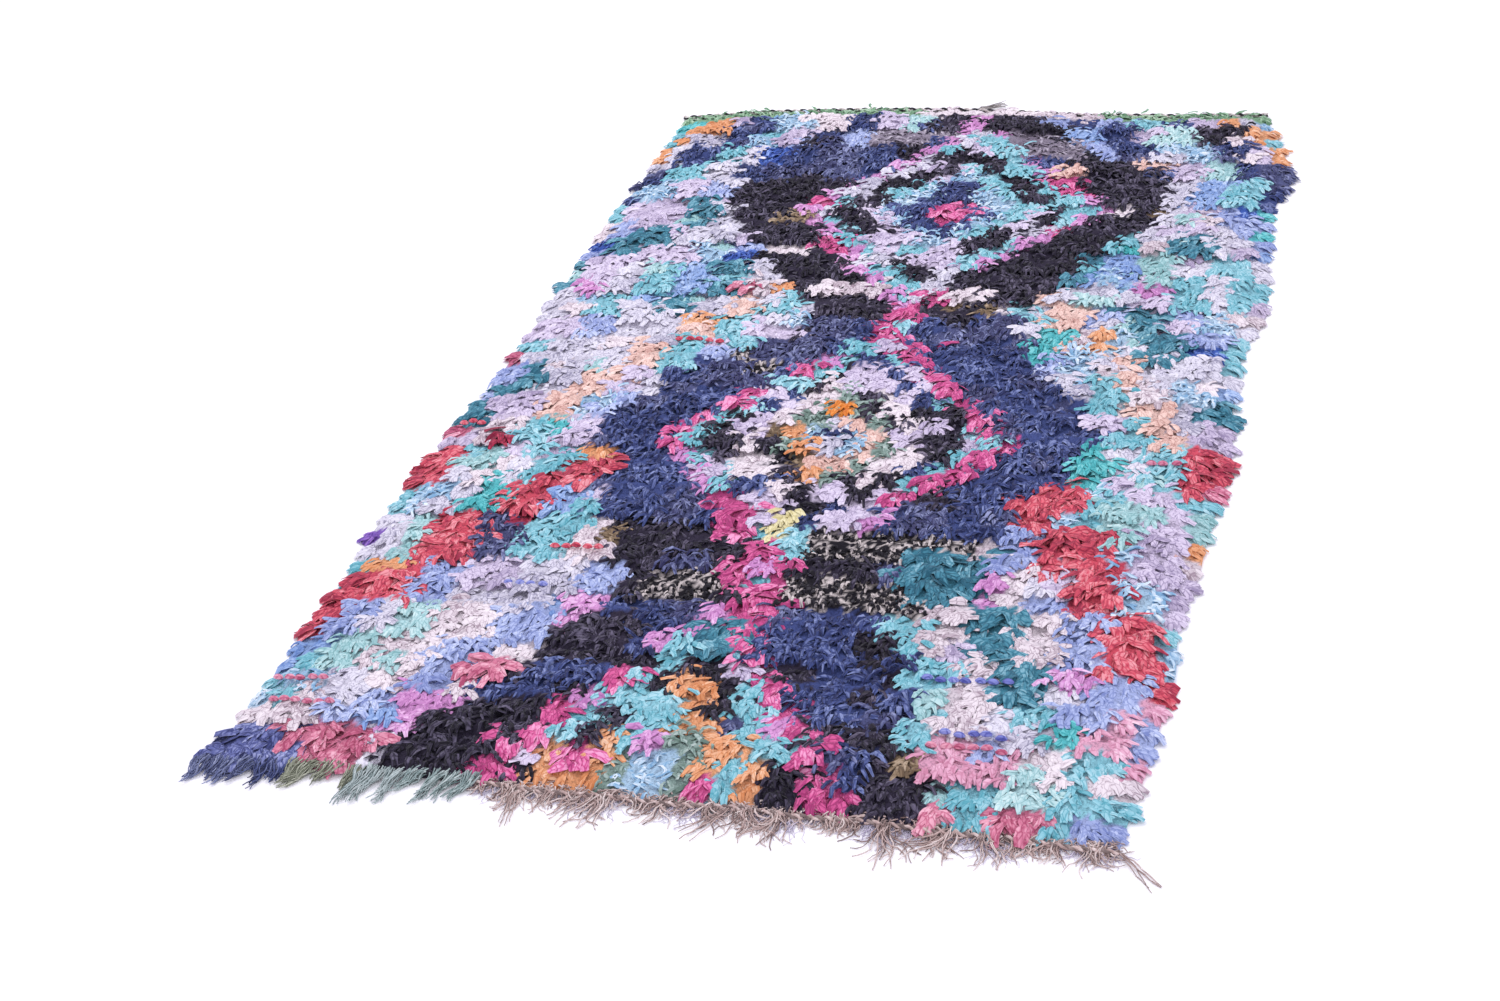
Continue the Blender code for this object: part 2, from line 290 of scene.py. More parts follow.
# Single blocks and repairs with no place in the repeat. Later rows lie over earlier ones.
Patch = namedtuple("Patch", "left right low high dye")
PATCHES = (
    # left, right, low, high, dye
    Patch(500, 640, 2290, 2380, "grey"),
    Patch(570, 690, 2335, 2400, "grey"),
    Patch(790, 900, 2290, 2365, "grey"),
    Patch(860, 980, 2230, 2310, "grey"),
    Patch(395, 490, 2370, 2470, "navy"),
    Patch(330, 400, 2210, 2290, "navy"),
    Patch(260, 330, 2210, 2290, "royal"),
    Patch(400, 500, 2210, 2300, "slate"),
    Patch(300, 520, 2130, 2215, "slate"),
    Patch(625, 700, 2380, 2465, "black"),
    Patch(700, 765, 2375, 2470, "orchid"),
    Patch(765, 850, 2385, 2465, "black"),
    Patch(725, 770, 2040, 2105, "navy"),
    Patch(370, 500, 1735, 1795, "cream"),
    Patch(830, 935, 1600, 1672, "black"),
    Patch(540, 680, 1555, 1600, "cream"),
    Patch(820, 900, 1550, 1595, "cream"),
    Patch(1075, 1125, 1960, 1992, "cream"),
    Patch(940, 1000, 2140, 2190, "peach"),
    Patch(1110, 1180, 2145, 2195, "peach"),
    Patch(250, 290, 1940, 1990, "tan"),
    Patch(1165, 1200, 1920, 1965, "tan"),
    Patch(300, 365, 1690, 1760, "royal"),
    Patch(390, 480, 1535, 1580, "rose"),
    Patch(700, 735, 1395, 1450, "magenta"),
    Patch(740, 775, 1395, 1450, "turquoise"),
    Patch(735, 790, 1450, 1500, "magenta"),
    Patch(695, 735, 1475, 1520, "magenta"),
    Patch(470, 585, 1262, 1305, "tweed"),
    Patch(-30, 30, 1270, 1320, "rose"),
    Patch(-30, 30, 980, 1020, "rose"),
    Patch(720, 755, 1088, 1135, "orange"),
    Patch(705, 740, 875, 920, "apricot"),
    Patch(895, 960, 940, 1110, "black"),
    Patch(650, 692, 735, 830, "lilac"),
    Patch(745, 785, 735, 830, "lilac"),
    Patch(760, 1030, 636, 727, "tweed"),
    Patch(765, 1005, 500, 590, "tweed"),
    Patch(515, 655, 505, 590, "tweed"),
    Patch(950, 1083, 540, 650, "teal"),
    Patch(415, 495, 440, 500, "orchid"),
    Patch(300, 403, 500, 590, "white"),
    Patch(403, 486, 504, 598, "periwinkle"),
    Patch(-30, 20, 705, 828, "turquoise"),
    Patch(-30, 55, 828, 945, "red"),
    Patch(55, 95, 880, 940, "turquoise"),
    Patch(183, 282, 712, 845, "red"),
    Patch(99, 190, 580, 712, "red"),
    Patch(37, 125, 441, 520, "red"),
    Patch(-30, 42, 347, 452, "red"),
    Patch(1109, 1182, 830, 902, "red"),
    Patch(1088, 1172, 760, 830, "red"),
    Patch(1161, 1250, 645, 755, "red"),
    Patch(1219, 1292, 527, 640, "red"),
    Patch(1276, 1349, 400, 515, "red"),
    Patch(1339, 1400, 316, 389, "red"),
    Patch(690, 730, 700, 775, "butter"),
    Patch(695, 745, 790, 860, "black"),
    Patch(640, 695, 545, 625, "magenta"),
    Patch(728, 765, 540, 625, "magenta"),
    Patch(692, 730, 540, 590, "turquoise"),
    Patch(688, 762, 430, 540, "magenta"),
    Patch(660, 735, 380, 432, "teal"),
    Patch(440, 477, 40, 140, "magenta"),
    Patch(480, 512, 40, 95, "black"),
    Patch(556, 592, 68, 124, "magenta"),
    Patch(515, 562, 100, 150, "orange"),
    Patch(512, 549, 45, 100, "apricot"),
    Patch(505, 549, 150, 190, "turquoise"),
    Patch(600, 748, 45, 150, "sage"),
    Patch(640, 716, 45, 130, "ice"),
    Patch(748, 800, 112, 180, "apricot"),
    Patch(776, 811, 45, 112, "turquoise"),
    Patch(811, 846, 45, 112, "apricot"),
    Patch(735, 776, 45, 103, "magenta"),
    Patch(848, 900, 45, 120, "black"),
    Patch(905, 960, 40, 130, "magenta"),
    Patch(276, 340, 910, 960, "apricot"),
    Patch(40, 105, 520, 585, "apricot"),
    Patch(1375, 1420, 700, 745, "apricot"),
    Patch(-20, 40, 620, 680, "purple"),
    Patch(190, 280, 590, 700, "slate"),
    Patch(395, 435, 640, 685, "tan"),
    Patch(-20, 130, 130, 178, "cream"),
    Patch(130, 190, 130, 185, "periwinkle"),
    Patch(190, 245, 125, 190, "sky"),
    Patch(250, 340, 150, 220, "orchid"),
    Patch(400, 620, 322, 368, "black"),
    Patch(1235, 1300, 2300, 2385, "black"),
    Patch(1375, 1460, 2060, 2200, "slate"),
    Patch(1205, 1275, 330, 400, "orchid"),
    Patch(1080, 1118, 540, 595, "orchid"),
    Patch(-30, 115, -20, 130, "denim"),
    Patch(115, 235, -20, 125, "rose"),
)

# How each way of cutting rags lies. Widths, lengths and scatter are in millimetres, turns in radians.
Cut = namedtuple(
    "Cut",
    "rags width length scatter fold pinch taper spread fan bend roll relief uneven sharp folded",
)
CUTS = {
    "jersey": Cut(15, (8, 13), (20, 34), 18, 0.14, 0.5, 0.70, 0.60, 0.5, 0.6, 0.26, 0.50, 0.13, 34, False),
    "crisp": Cut(11, (13, 24), (30, 50), 15, 0.18, 0.5, 0.90, 0.60, 0.8, 0.3, 0.42, 0.70, 0.20, 16, True),
    "crumple": Cut(18, (6, 11), (22, 38), 18, 0.24, 0.5, 0.80, 0.60, 0.5, 0.6, 0.45, 1.00, 0.20, 22, False),
    "crepe": Cut(13, (9, 17), (20, 34), 18, 0.10, 0.7, 0.55, 0.80, 0.4, 0.6, 0.16, 0.32, 0.10, 40, False),
    "shred": Cut(16, (5, 9), (16, 28), 19, 0.22, 0.7, 0.55, 1.20, 0.2, 1.5, 0.35, 0.60, 0.26, 60, False),
    "fleck": Cut(21, (4, 7), (9, 15), 19, 0.30, 0.7, 0.30, 0.50, 0.1, 0.5, 0.40, 0.80, 0.00, 60, False),
}

Dye = namedtuple("Dye", "cut deep middle pale")
DYES = {
    # cut, the deepest, middle and palest shade of the lot; the deepest also colours the painted crease
    # shade
    "black": Dye("crumple", "#18151e", "#352f41", "#6a6378"),
    "navy": Dye("crumple", "#262c54", "#465388", "#8692c0"),
    "slate": Dye("crumple", "#33335a", "#585d86", "#989fc6"),
    "denim": Dye("crisp", "#383e70", "#646ca4", "#a4abd2"),
    "royal": Dye("crumple", "#2c4490", "#4a6abc", "#8ea8e2"),
    "sky": Dye("jersey", "#6584bc", "#93aeda", "#c4d5f0"),
    "periwinkle": Dye("jersey", "#7785ba", "#a3b0da", "#ced7ef"),
    "turquoise": Dye("jersey", "#58a2b0", "#8ac4d0", "#bce0e8"),
    "teal": Dye("crisp", "#2a6074", "#4a8a9e", "#88b8c6"),
    "aqua": Dye("jersey", "#2e969a", "#5cbcc0", "#92d8d8"),
    "mint": Dye("jersey", "#7eaeb0", "#aad0d2", "#d0e8e6"),
    "lilac": Dye("crepe", "#9486a6", "#d0c3da", "#e7deef"),
    "white": Dye("crepe", "#8c88a0", "#d2cedc", "#ebe8f0"),
    "cream": Dye("crepe", "#a08c98", "#e0d4da", "#f2e9ec"),
    "peach": Dye("crepe", "#b8887e", "#e6c2b6", "#f6e0d6"),
    "apricot": Dye("jersey", "#cc8050", "#e4a478", "#f3ccae"),
    "orange": Dye("jersey", "#cc6c24", "#e48a3a", "#f4b068"),
    "butter": Dye("jersey", "#c8bc84", "#e6dcae", "#f4eed0"),
    "orchid": Dye("jersey", "#b070aa", "#d496cc", "#ecc6e6"),
    "pink": Dye("jersey", "#c8849f", "#e2aac2", "#f2d0de"),
    "magenta": Dye("crisp", "#a63870", "#d85c96", "#f0a0c8"),
    "red": Dye("crisp", "#9c3048", "#d65466", "#ec9aa2"),
    "crimson": Dye("crisp", "#7c1c38", "#b4304e", "#dc7488"),
    "rose": Dye("crisp", "#ac4c6c", "#d47e98", "#eeb4c4"),
    "sage": Dye("shred", "#62796f", "#8ca39b", "#b8c6c0"),
    "ice": Dye("shred", "#7ba6c8", "#b0cce0", "#e2ecf6"),
    "moss": Dye("shred", "#5a8060", "#86ac8a", "#b4cdb2"),
    "tan": Dye("shred", "#64523f", "#8c775f", "#b4a088"),
    "grey": Dye("shred", "#6a6070", "#968c9c", "#c8c0cc"),
    "purple": Dye("jersey", "#58368c", "#8460b8", "#bc90d4"),
    "violet": Dye("jersey", "#4c509c", "#777ec6", "#a8aee0"),
    "tweed": Dye("fleck", "#1e1b22", "#3a3540", "#d2c7c4"),
}


def edges_at(x, y):
    """The left, right, near and far edge of the pile, at places along them."""
    left = np.interp(y, SIDE_EDGES[:, 0], SIDE_EDGES[:, 1])
    right = np.interp(y, SIDE_EDGES[:, 0], SIDE_EDGES[:, 2])
    near = np.interp(x, END_EDGES[:, 0], END_EDGES[:, 1])
    far = np.interp(x, END_EDGES[:, 0], END_EDGES[:, 2])
    return left, right, near, far


def on_rug(across, along):
    """The place in rug measures of a share across and a share along the rug."""
    x = END_EDGES[0, 0] + (END_EDGES[-1, 0] - END_EDGES[0, 0]) * across
    _, _, near, far = edges_at(x, 0)
    y = near + (far - near) * along
    left, right, _, _ = edges_at(x, y)
    return left + (right - left) * across, y


def to_frame(x, y, z):
    """Rug measures in millimetres as places in the frame in metres."""
    return np.stack((MIDDLE_X + (x - HALF_WIDTH) * MM, NEAR_Y + y * MM, z * MM + 0 * x), axis=-1)


def chance(*told):
    """One throw of the dice for everything that is told the same way."""
    return random.Random(" ".join(str(part) for part in told)).random()


def clump(x, y, size=CLUMP):
    return math.floor(x / size[0]), math.floor(y / size[1])


def lozenge_dye(x, y):
    for lozenge in LOZENGES:
        share = abs(x - lozenge.x) / lozenge.half_width + abs(y - lozenge.y) / lozenge.half_height
        for ring in lozenge.rings:
            if share < ring.out_to:
                return ring.other if chance(*clump(x, y, RING_CLUMP), ring.dye) < ring.share else ring.dye
    return None


def dark_dye(x, y):
    side = 1 if x < AXIS else 2
    half_width = np.interp(y, DARK_FIELD[:, 0], DARK_FIELD[:, side])
    if abs(x - AXIS) < half_width:
        field = next(field for field in FIELDS if y > field.above)
        return field.other if chance(*clump(x, y), field.dye) < field.share else field.dye
    return None


def run_dye(x, y):
    side = "left" if x < AXIS else "right"
    rows = BLOCK_ROWS[side]
    row = next((number for number in range(1, len(rows)) if y > rows[number]), len(rows) - 1)
    middle = (rows[row - 1] + rows[row]) / 2
    distance = abs(x - AXIS) + STEP_OUT * middle
    run = min(RUNS[side], key=lambda run: abs(run.distance - distance))
    dye = run.low_dye if y < run.below else run.dye
    draw = chance(side, row, run.distance)
    for mate in MATES.get(dye, ()):
        if draw < mate.share:
            return mate.dye
        draw -= mate.share
    return dye


def dye_at(x, y):
    """The dye lot knotted at a place, in rug measures."""
    _, _, _, far = edges_at(x, y)
    if y > far - BAND_DEPTH:
        return "moss" if any(left < x < right for left, right in BAND_GREEN) else "cream"
    for patch in reversed(PATCHES):
        if patch.left < x < patch.right and patch.low < y < patch.high:
            return patch.dye
    dye = lozenge_dye(x, y)
    if dye:
        return dye
    dark = dark_dye(x, y)
    dye = dark or run_dye(x, y)
    low = y < ODDS_BELOW and not dark
    strays = ODDS_AND_ENDS if low else STRAYS.get(dye, ())
    draw = chance(*clump(x, y, HANDFUL), "stray") / (ODDS_SHARE if low else STRAY_SHARE)
    return strays[int(draw * len(strays))] if strays and draw < 1 else dye


# Swept strips and yarns


def noise(shape, size):
    return dice.uniform(-size, size, shape)


NO_LENGTH = 1e-9


def sweep(centres, roll, across, lift):
    """Corners of strips swept along centre lines, for corners at across and lift in each step's plane."""
    run = np.gradient(centres, axis=1)
    run /= np.linalg.norm(run, axis=-1, keepdims=True) + NO_LENGTH
    side = np.cross(run, (0.0, 0.0, 1.0))
    side /= np.linalg.norm(side, axis=-1, keepdims=True) + NO_LENGTH
    up = np.cross(side, run)
    cos, sin = np.cos(roll)[..., None], np.sin(roll)[..., None]
    side, up = side * cos + up * sin, up * cos - side * sin
    return (
        centres[:, :, None]
        + side[:, :, None] * across[..., None]
        + up[:, :, None] * lift[..., None]
    )


def strip_faces(count, steps, corners):
    """Quads round every strip, and its two end caps."""
    ring = range(corners)
    walls = []
    for low in range(0, (steps - 1) * corners, corners):
        high = low + corners
        walls += [(low + a, low + (a + 1) % corners, high + (a + 1) % corners, high + a) for a in ring]
    last = (steps - 1) * corners
    caps = [tuple(reversed(ring)), tuple(last + a for a in ring)]
    starts = range(0, count * steps * corners, steps * corners)
    return [tuple(start + corner for corner in face) for start in starts for face in walls + caps]


PLAIN_SHARP = 32
YARN_SHARP = 130


def add_piece(name, corners, faces, places, material, slot="rag_pile", sharp=PLAIN_SHARP):
    """A joined mesh of strips, with the place on its strip kept for the material."""
    mesh = bpy.data.meshes.new(name)
    mesh.from_pydata(corners.reshape(-1, 3).tolist(), [], faces)
    kept = mesh.attributes.new("strip_place", "FLOAT_VECTOR", "POINT")
    kept.data.foreach_set("vector", places.reshape(-1).astype(np.float32))
    finish_mesh(mesh, material, sharp)
    return new_piece(mesh, slot)


def finish_mesh(mesh, material, sharp):
    mesh.shade_smooth()
    mesh.set_sharp_from_angle(angle=math.radians(sharp))
    mesh.materials.append(material)


def new_piece(mesh, slot):
    """A mesh as an object that rides on the rug's one body."""
    piece = bpy.data.objects.new(mesh.name, mesh)
    bpy.context.scene.collection.objects.link(piece)
    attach(piece, "root")
    return piece


PATTERN_SPREAD = 50


def strip_places(across, along, shade):
    """Where each corner is on its own strip, and its shade. Every strip starts somewhere else in the
    finish's pattern."""
    start = noise((len(across), 1, 1), PATTERN_SPREAD)
    return np.stack((across + start, along[..., None] + 0 * across, shade[..., None] + 0 * across), axis=-1)


# How every rag lies, in millimetres and radians or as shares of its own size.
RAG_STEPS = 4
DROOP_SHORTENS = 0.2
SIDE_HOLD = 0.6
MOST_SPLAY = 2.2
TURN_WOBBLE = 0.15
ROOTS_DEEPER = 1.3
ROOT_BACK = 0.4
ROOT_SUNK = (0.18, 0.40)
CREST_RISE = (-3, 5)
CREST_DROOP = 0.35
TIP_SUNK = (0.0, 0.24)
TIP_DROOP = 0.8
CRUMPLE_RISE = 1.8
FLOOR_GAP = 0.8


def rag_lines(x, y, height, lean, droop, length, cut):
    """Where rags run: from their knot's root over a crest to their tip, towards the near end."""
    each, steps = (len(x), 1), (len(x), RAG_STEPS)
    share = np.linspace(0, 1, RAG_STEPS)
    loose = 1 - SIDE_HOLD * np.minimum(np.abs(lean), 1)
    beside = noise(each, 1)
    splay = dice.normal(0, cut.spread, each) + cut.fan * beside
    turn = lean + splay.clip(-MOST_SPLAY, MOST_SPLAY) * loose + noise(each, cut.bend) * share
    turn = turn + noise(steps, TURN_WOBBLE)
    stride = length / (RAG_STEPS - 1)
    scatter = cut.scatter * loose
    root_x = x + beside * scatter
    root_y = y + noise(each, ROOTS_DEEPER) * scatter + length * ROOT_BACK * np.cos(lean)
    plan_x = root_x + np.cumsum(np.sin(turn) * stride, axis=1) - np.sin(turn[:, :1]) * stride
    plan_y = root_y - np.cumsum(np.cos(turn) * stride, axis=1)
    root = height * (1 - cut.relief * dice.uniform(*ROOT_SUNK, each))
    peak = height * (1 - CREST_DROOP * droop) + cut.relief * dice.uniform(*CREST_RISE, each)
    tip = height * (1 - cut.relief * dice.uniform(*TIP_SUNK, each)) * (1 - TIP_DROOP * droop)
    crest = 2 * peak - (root + tip) / 2
    z = (1 - share) ** 2 * root + 2 * share * (1 - share) * crest + share**2 * tip
    return plan_x, plan_y, z + noise(steps, CRUMPLE_RISE * cut.relief)


PINCH_LENGTH = 0.3
TAPER_SHARE = (0.2, 1.0)
TAPER_POWER = 2.5
WIDTH_WOBBLE = 0.16
FOLD_WOBBLE = (0.8, 0.6)
RIDGE_WOBBLE = (0.2, 0.1)
CLOTH_THICKNESS = 1.0
RIDGE_SHARE = 0.12


def rag_sections(width, cut):
    """Corners across and above each step of a rag: a folded strip has four, a plain one three."""
    each, steps = (len(width), 1), (len(width), RAG_STEPS)
    share = np.linspace(0, 1, RAG_STEPS)
    swell = cut.pinch + (1 - cut.pinch) * np.clip(share / PINCH_LENGTH, 0, 1)
    narrow = 1 - cut.taper * dice.uniform(*TAPER_SHARE, each) * share**TAPER_POWER
    wide = width * swell * narrow * (1 + noise(steps, WIDTH_WOBBLE))
    fold = wide * cut.fold * (noise(each, FOLD_WOBBLE[0]) + noise(steps, FOLD_WOBBLE[1]))
    aside = wide * (noise(each, RIDGE_WOBBLE[0]) + noise(steps, RIDGE_WOBBLE[1]))
    flat = 0 * wide
    if cut.folded:
        across = (-wide / 2, aside, wide / 2, aside)
        lift = (flat, fold + CLOTH_THICKNESS / 2, flat, fold - CLOTH_THICKNESS / 2)
    else:
        across = (-wide / 2, aside, wide / 2)
        lift = (flat, np.abs(fold) + wide * RIDGE_SHARE, flat)
    return np.stack(across, axis=-1), np.stack(lift, axis=-1)


ROLL_WOBBLE = 0.2
PALE_FLECKS = 0.36
FLECK_SHADES = (0.1, 1.0)
FLECK_WOBBLE = 0.08


def rag_shades(tone, cut):
    """How pale each rag is within its lot. A flecked cut mixes pale rags among dark ones."""
    shade = np.clip(tone + dice.normal(0, cut.uneven, tone.shape), 0, 1)
    if cut is CUTS["fleck"]:
        dark, pale = FLECK_SHADES
        shade = np.where(dice.random(tone.shape) < PALE_FLECKS, pale, dark)
        shade = shade + noise(tone.shape, FLECK_WOBBLE)
    return shade


def rag_strips(knots, cut):
    """Corners, faces and strip places for all the rags of these knots, cut one way."""
    rags = np.repeat(np.array(knots), cut.rags, axis=0)
    x, y, height, lean, droop, tone = rags.T[..., None]
    each, steps = (len(rags), 1), (len(rags), RAG_STEPS)
    share = np.linspace(0, 1, RAG_STEPS)
    width = dice.uniform(*cut.width, each)
    length = dice.uniform(*cut.length, each) * (1 - DROOP_SHORTENS * droop)
    line = rag_lines(x, y, height, lean, droop, length, cut)
    across, lift = rag_sections(width, cut)
    roll = noise(each, cut.roll) + noise(each, cut.roll) * share + noise(steps, ROLL_WOBBLE)
    corners = sweep(to_frame(*line), roll, across * MM, lift * MM)
    corners[..., 2] = np.maximum(corners[..., 2], FLOOR_GAP * MM)
    places = strip_places(across, share * length, rag_shades(tone, cut))
    return corners, strip_faces(len(rags), RAG_STEPS, across.shape[-1]), places


# Finishes


def linear(code):
    """An sRGB hex colour as linear red, green, blue and alpha."""
    parts = [int(code[at : at + 2], 16) / 255 for at in (1, 3, 5)]
    return [p / 12.92 if p <= 0.04045 else ((p + 0.055) / 1.055) ** 2.4 for p in parts] + [1.0]


def add(tree, kind, links=None, values=None, **settings):
    """Adds a node to a tree, with its settings, its sockets' values and what feeds them."""
    node = tree.nodes.new(kind)
    for name, setting in settings.items():
        setattr(node, name, setting)
    for name, value in (values or {}).items():
        node.inputs[name].default_value = value
    for name, source in (links or {}).items():
        tree.links.new(source, node.inputs[name])
    return node


def new_finish(name, roughness, specular=0.2, sheen=0.0):
    material = bpy.data.materials.new(name)
    material.use_nodes = True
    tree = material.node_tree
    shader = tree.nodes["Principled BSDF"]
    shader.inputs["Roughness"].default_value = roughness
    shader.inputs["Specular IOR Level"].default_value = specular
    shader.inputs["Sheen Weight"].default_value = sheen
    return material, tree, shader


def shades(tree, factor, *codes):
    """A ramp over evenly spaced colours."""
    ramp = add(tree, "ShaderNodeValToRGB", {"Fac": factor})
    stops = ramp.color_ramp.elements
    while len(stops) < len(codes):
        stops.new(0.5)
    for number, code in enumerate(codes):
        stops[number].position = number / (len(codes) - 1)
        stops[number].color = linear(code)
    return ramp.outputs["Color"]


COTTON_ROUGHNESS = 0.9
COTTON_SHEEN = 0.10
CREASE_MM = 7.0
CREASE_RUN_MM = 15.0
PLEAT_MM = 4.5
PLEAT_RUN_MM = 22.0
LOT_SPREAD = 40.0
# How much lighter the facets are painted beside their crease shade.
FACET_LIFT = 0.04
Creasing = namedtuple("Creasing", "depth furrow fall pleat")
CREASING = {
    # bump depth in millimetres, furrows' share of a facet, how far their painted shade darkens, how far the
    # pleats' painted shade and light reach
    "jersey": Creasing(1.3, 0.12, 0.44, 0.18),
    "crisp": Creasing(2.0, 0.15, 0.45, 0.26),
    "crumple": Creasing(2.2, 0.16, 0.42, 0.26),
    "crepe": Creasing(1.0, 0.10, 0.46, 0.13),
    "shred": Creasing(0.9, 0.16, 0.40, 0.30),
    "fleck": Creasing(0.8, 0.16, 0.30, 0.20),
}


def dyed_rag(name, dye):
    """Cut cotton cloth, dyed in the piece and washed: matt and soft, broken into small facets by creases
    that carry a dark line of painted shade, with fine pleats along each rag, painted darker in their
    hollows and lighter on their ridges. Creases are drawn 7 mm apart and pleats 4.5 mm, coarser than
    real, so that they show. Each rag took the dye a little differently."""
    creasing = CREASING[dye.cut]
    material, tree, shader = new_finish(name, COTTON_ROUGHNESS, sheen=COTTON_SHEEN)
    place = add(tree, "ShaderNodeAttribute", attribute_name="strip_place").outputs["Vector"]
    parts = add(tree, "ShaderNodeSeparateXYZ", {"Vector": place})
    per_crease = (1 / CREASE_MM, 1 / CREASE_RUN_MM, LOT_SPREAD)
    facets = add(tree, "ShaderNodeVectorMath", {0: place}, {1: per_crease}, operation="MULTIPLY")
    creases = add(
        tree, "ShaderNodeTexVoronoi", {"Vector": facets.outputs["Vector"]}, {"Scale": 1.0},
        feature="DISTANCE_TO_EDGE",
    ).outputs["Distance"]
    # Painted shade: each crease is drawn as a dark line, and the facets between are lifted slightly
    # lighter.
    furrow = add(
        tree, "ShaderNodeMapRange", {"Value": creases},
        {"From Min": 0.0, "From Max": creasing.furrow, "To Min": -creasing.fall, "To Max": FACET_LIFT},
    ).outputs["Result"]
    per_pleat = (1 / PLEAT_MM, 1 / PLEAT_RUN_MM, LOT_SPREAD)
    along_rag = add(tree, "ShaderNodeVectorMath", {0: place}, {1: per_pleat}, operation="MULTIPLY")
    pleats = add(
        tree, "ShaderNodeTexNoise", {"Vector": along_rag.outputs["Vector"]},
        {"Scale": 1.0, "Detail": 2.0, "Roughness": 0.6},
    ).outputs["Fac"]
    # Painted shade and light on the pleats: their colour follows the same noise as their bump, darker in
    # the hollows, lighter on the ridges.
    uneven = add(
        tree, "ShaderNodeMapRange", {"Value": pleats},
        {"From Min": 0.32, "From Max": 0.68, "To Min": -creasing.pleat, "To Max": creasing.pleat},
    ).outputs["Result"]
    # Each rag's own tone with the painted pleat shade and light added.
    pleat_shaded_tone = add(tree, "ShaderNodeMath", {0: parts.outputs["Z"], 1: uneven}, operation="ADD")
    tone = add(tree, "ShaderNodeMath", {0: pleat_shaded_tone.outputs["Value"], 1: furrow}, operation="ADD")
    colour = shades(tree, tone.outputs["Value"], dye.deep, dye.middle, dye.pale)
    tree.links.new(colour, shader.inputs["Base Color"])
    creased = add(
        tree, "ShaderNodeBump", {"Height": furrow}, {"Strength": 0.8, "Distance": creasing.depth * MM}
    )
    pleated = add(
        tree, "ShaderNodeBump", {"Height": pleats, "Normal": creased.outputs["Normal"]},
        {"Strength": 0.9, "Distance": creasing.depth * MM},
    )
    tree.links.new(pleated.outputs["Normal"], shader.inputs["Normal"])
    return material


TWIST_MM = 2.4
# A wave texture's band repeats every 0.314 units at scale 1.
WAVE_BAND = 0.314
PATCHES_PER_MM = 0.12
WOOL_ROUGHNESS = 0.93
WOOL_SHEEN = 0.15


def spun_wool(name, deep, middle, pale):
    """Handspun wool yarn: hairy and matt, with twist marks 2.4 mm apart across it and colour that is
    uneven along it."""
    material, tree, shader = new_finish(name, WOOL_ROUGHNESS, sheen=WOOL_SHEEN)
    place = add(tree, "ShaderNodeAttribute", attribute_name="strip_place").outputs["Vector"]
    parts = add(tree, "ShaderNodeSeparateXYZ", {"Vector": place})
    patchy = add(
        tree, "ShaderNodeTexNoise", {"Vector": place}, {"Scale": PATCHES_PER_MM, "Detail": 2.0}
    ).outputs["Fac"]
    mottle = add(
        tree, "ShaderNodeMapRange", {"Value": patchy},
        {"From Min": 0.3, "From Max": 0.7, "To Min": -0.22, "To Max": 0.22},
    )
    tone = add(
        tree, "ShaderNodeMath", {0: parts.outputs["Z"], 1: mottle.outputs["Result"]}, operation="ADD"
    )
    tree.links.new(shades(tree, tone.outputs["Value"], deep, middle, pale), shader.inputs["Base Color"])
    twist = add(
        tree, "ShaderNodeTexWave", {"Vector": place},
        {"Scale": WAVE_BAND / TWIST_MM, "Distortion": 2.0, "Detail": 1.0}, bands_direction="DIAGONAL",
    )
    bump = add(
        tree, "ShaderNodeBump", {"Height": twist.outputs["Fac"]}, {"Strength": 0.5, "Distance": 0.5 * MM}
    )
    tree.links.new(bump.outputs["Normal"], shader.inputs["Normal"])
    return material


BED_CREASE_MM = 5.0
BED_CREASE_DEPTH = 3.0
BED_ROUGHNESS = 0.95
# Painted shade mixed into the bed's crease hollows.
BED_SHADE = "#5a5468"


def knotted_bed():
    """The knots' packed roots over the flat weave, in the colours of their lots: matt and crumpled,
    with small creases whose hollows carry painted shade: dark specks where one looks down
    between rags."""
    material, tree, shader = new_finish("knotted_cotton_bed", BED_ROUGHNESS)
    dyed = add(tree, "ShaderNodeAttribute", attribute_name="dye").outputs["Color"]
    place = add(tree, "ShaderNodeTexCoord").outputs["Object"]
    creases = add(
        tree, "ShaderNodeTexNoise", {"Vector": place},
        {"Scale": 1 / (BED_CREASE_MM * MM), "Detail": 3.0, "Roughness": 0.6, "Distortion": 0.8},
    ).outputs["Fac"]
    # Painted shade: where the crease noise is low, which the bump also sinks, the colour is multiplied
    # darker.
    hollows = add(
        tree, "ShaderNodeMapRange", {"Value": creases}, {"From Min": 0.32, "From Max": 0.54}
    ).outputs["Result"]
    shaded = add(tree, "ShaderNodeMix", {"Factor": hollows, "B": dyed}, data_type="RGBA")
    deep = add(
        tree, "ShaderNodeMix", {"A": dyed}, {"Factor": 0.55}, data_type="RGBA", blend_type="MULTIPLY"
    )
    deep.inputs["B"].default_value = linear(BED_SHADE)
    tree.links.new(deep.outputs["Result"], shaded.inputs["A"])
    tree.links.new(shaded.outputs["Result"], shader.inputs["Base Color"])
    depth = BED_CREASE_DEPTH * MM
    bump = add(tree, "ShaderNodeBump", {"Height": creases}, {"Strength": 0.9, "Distance": depth})
    tree.links.new(bump.outputs["Normal"], shader.inputs["Normal"])
    return material


# The rug's pieces


ABOVE_ALL = 100.0
SLAB_RIM = 9.0


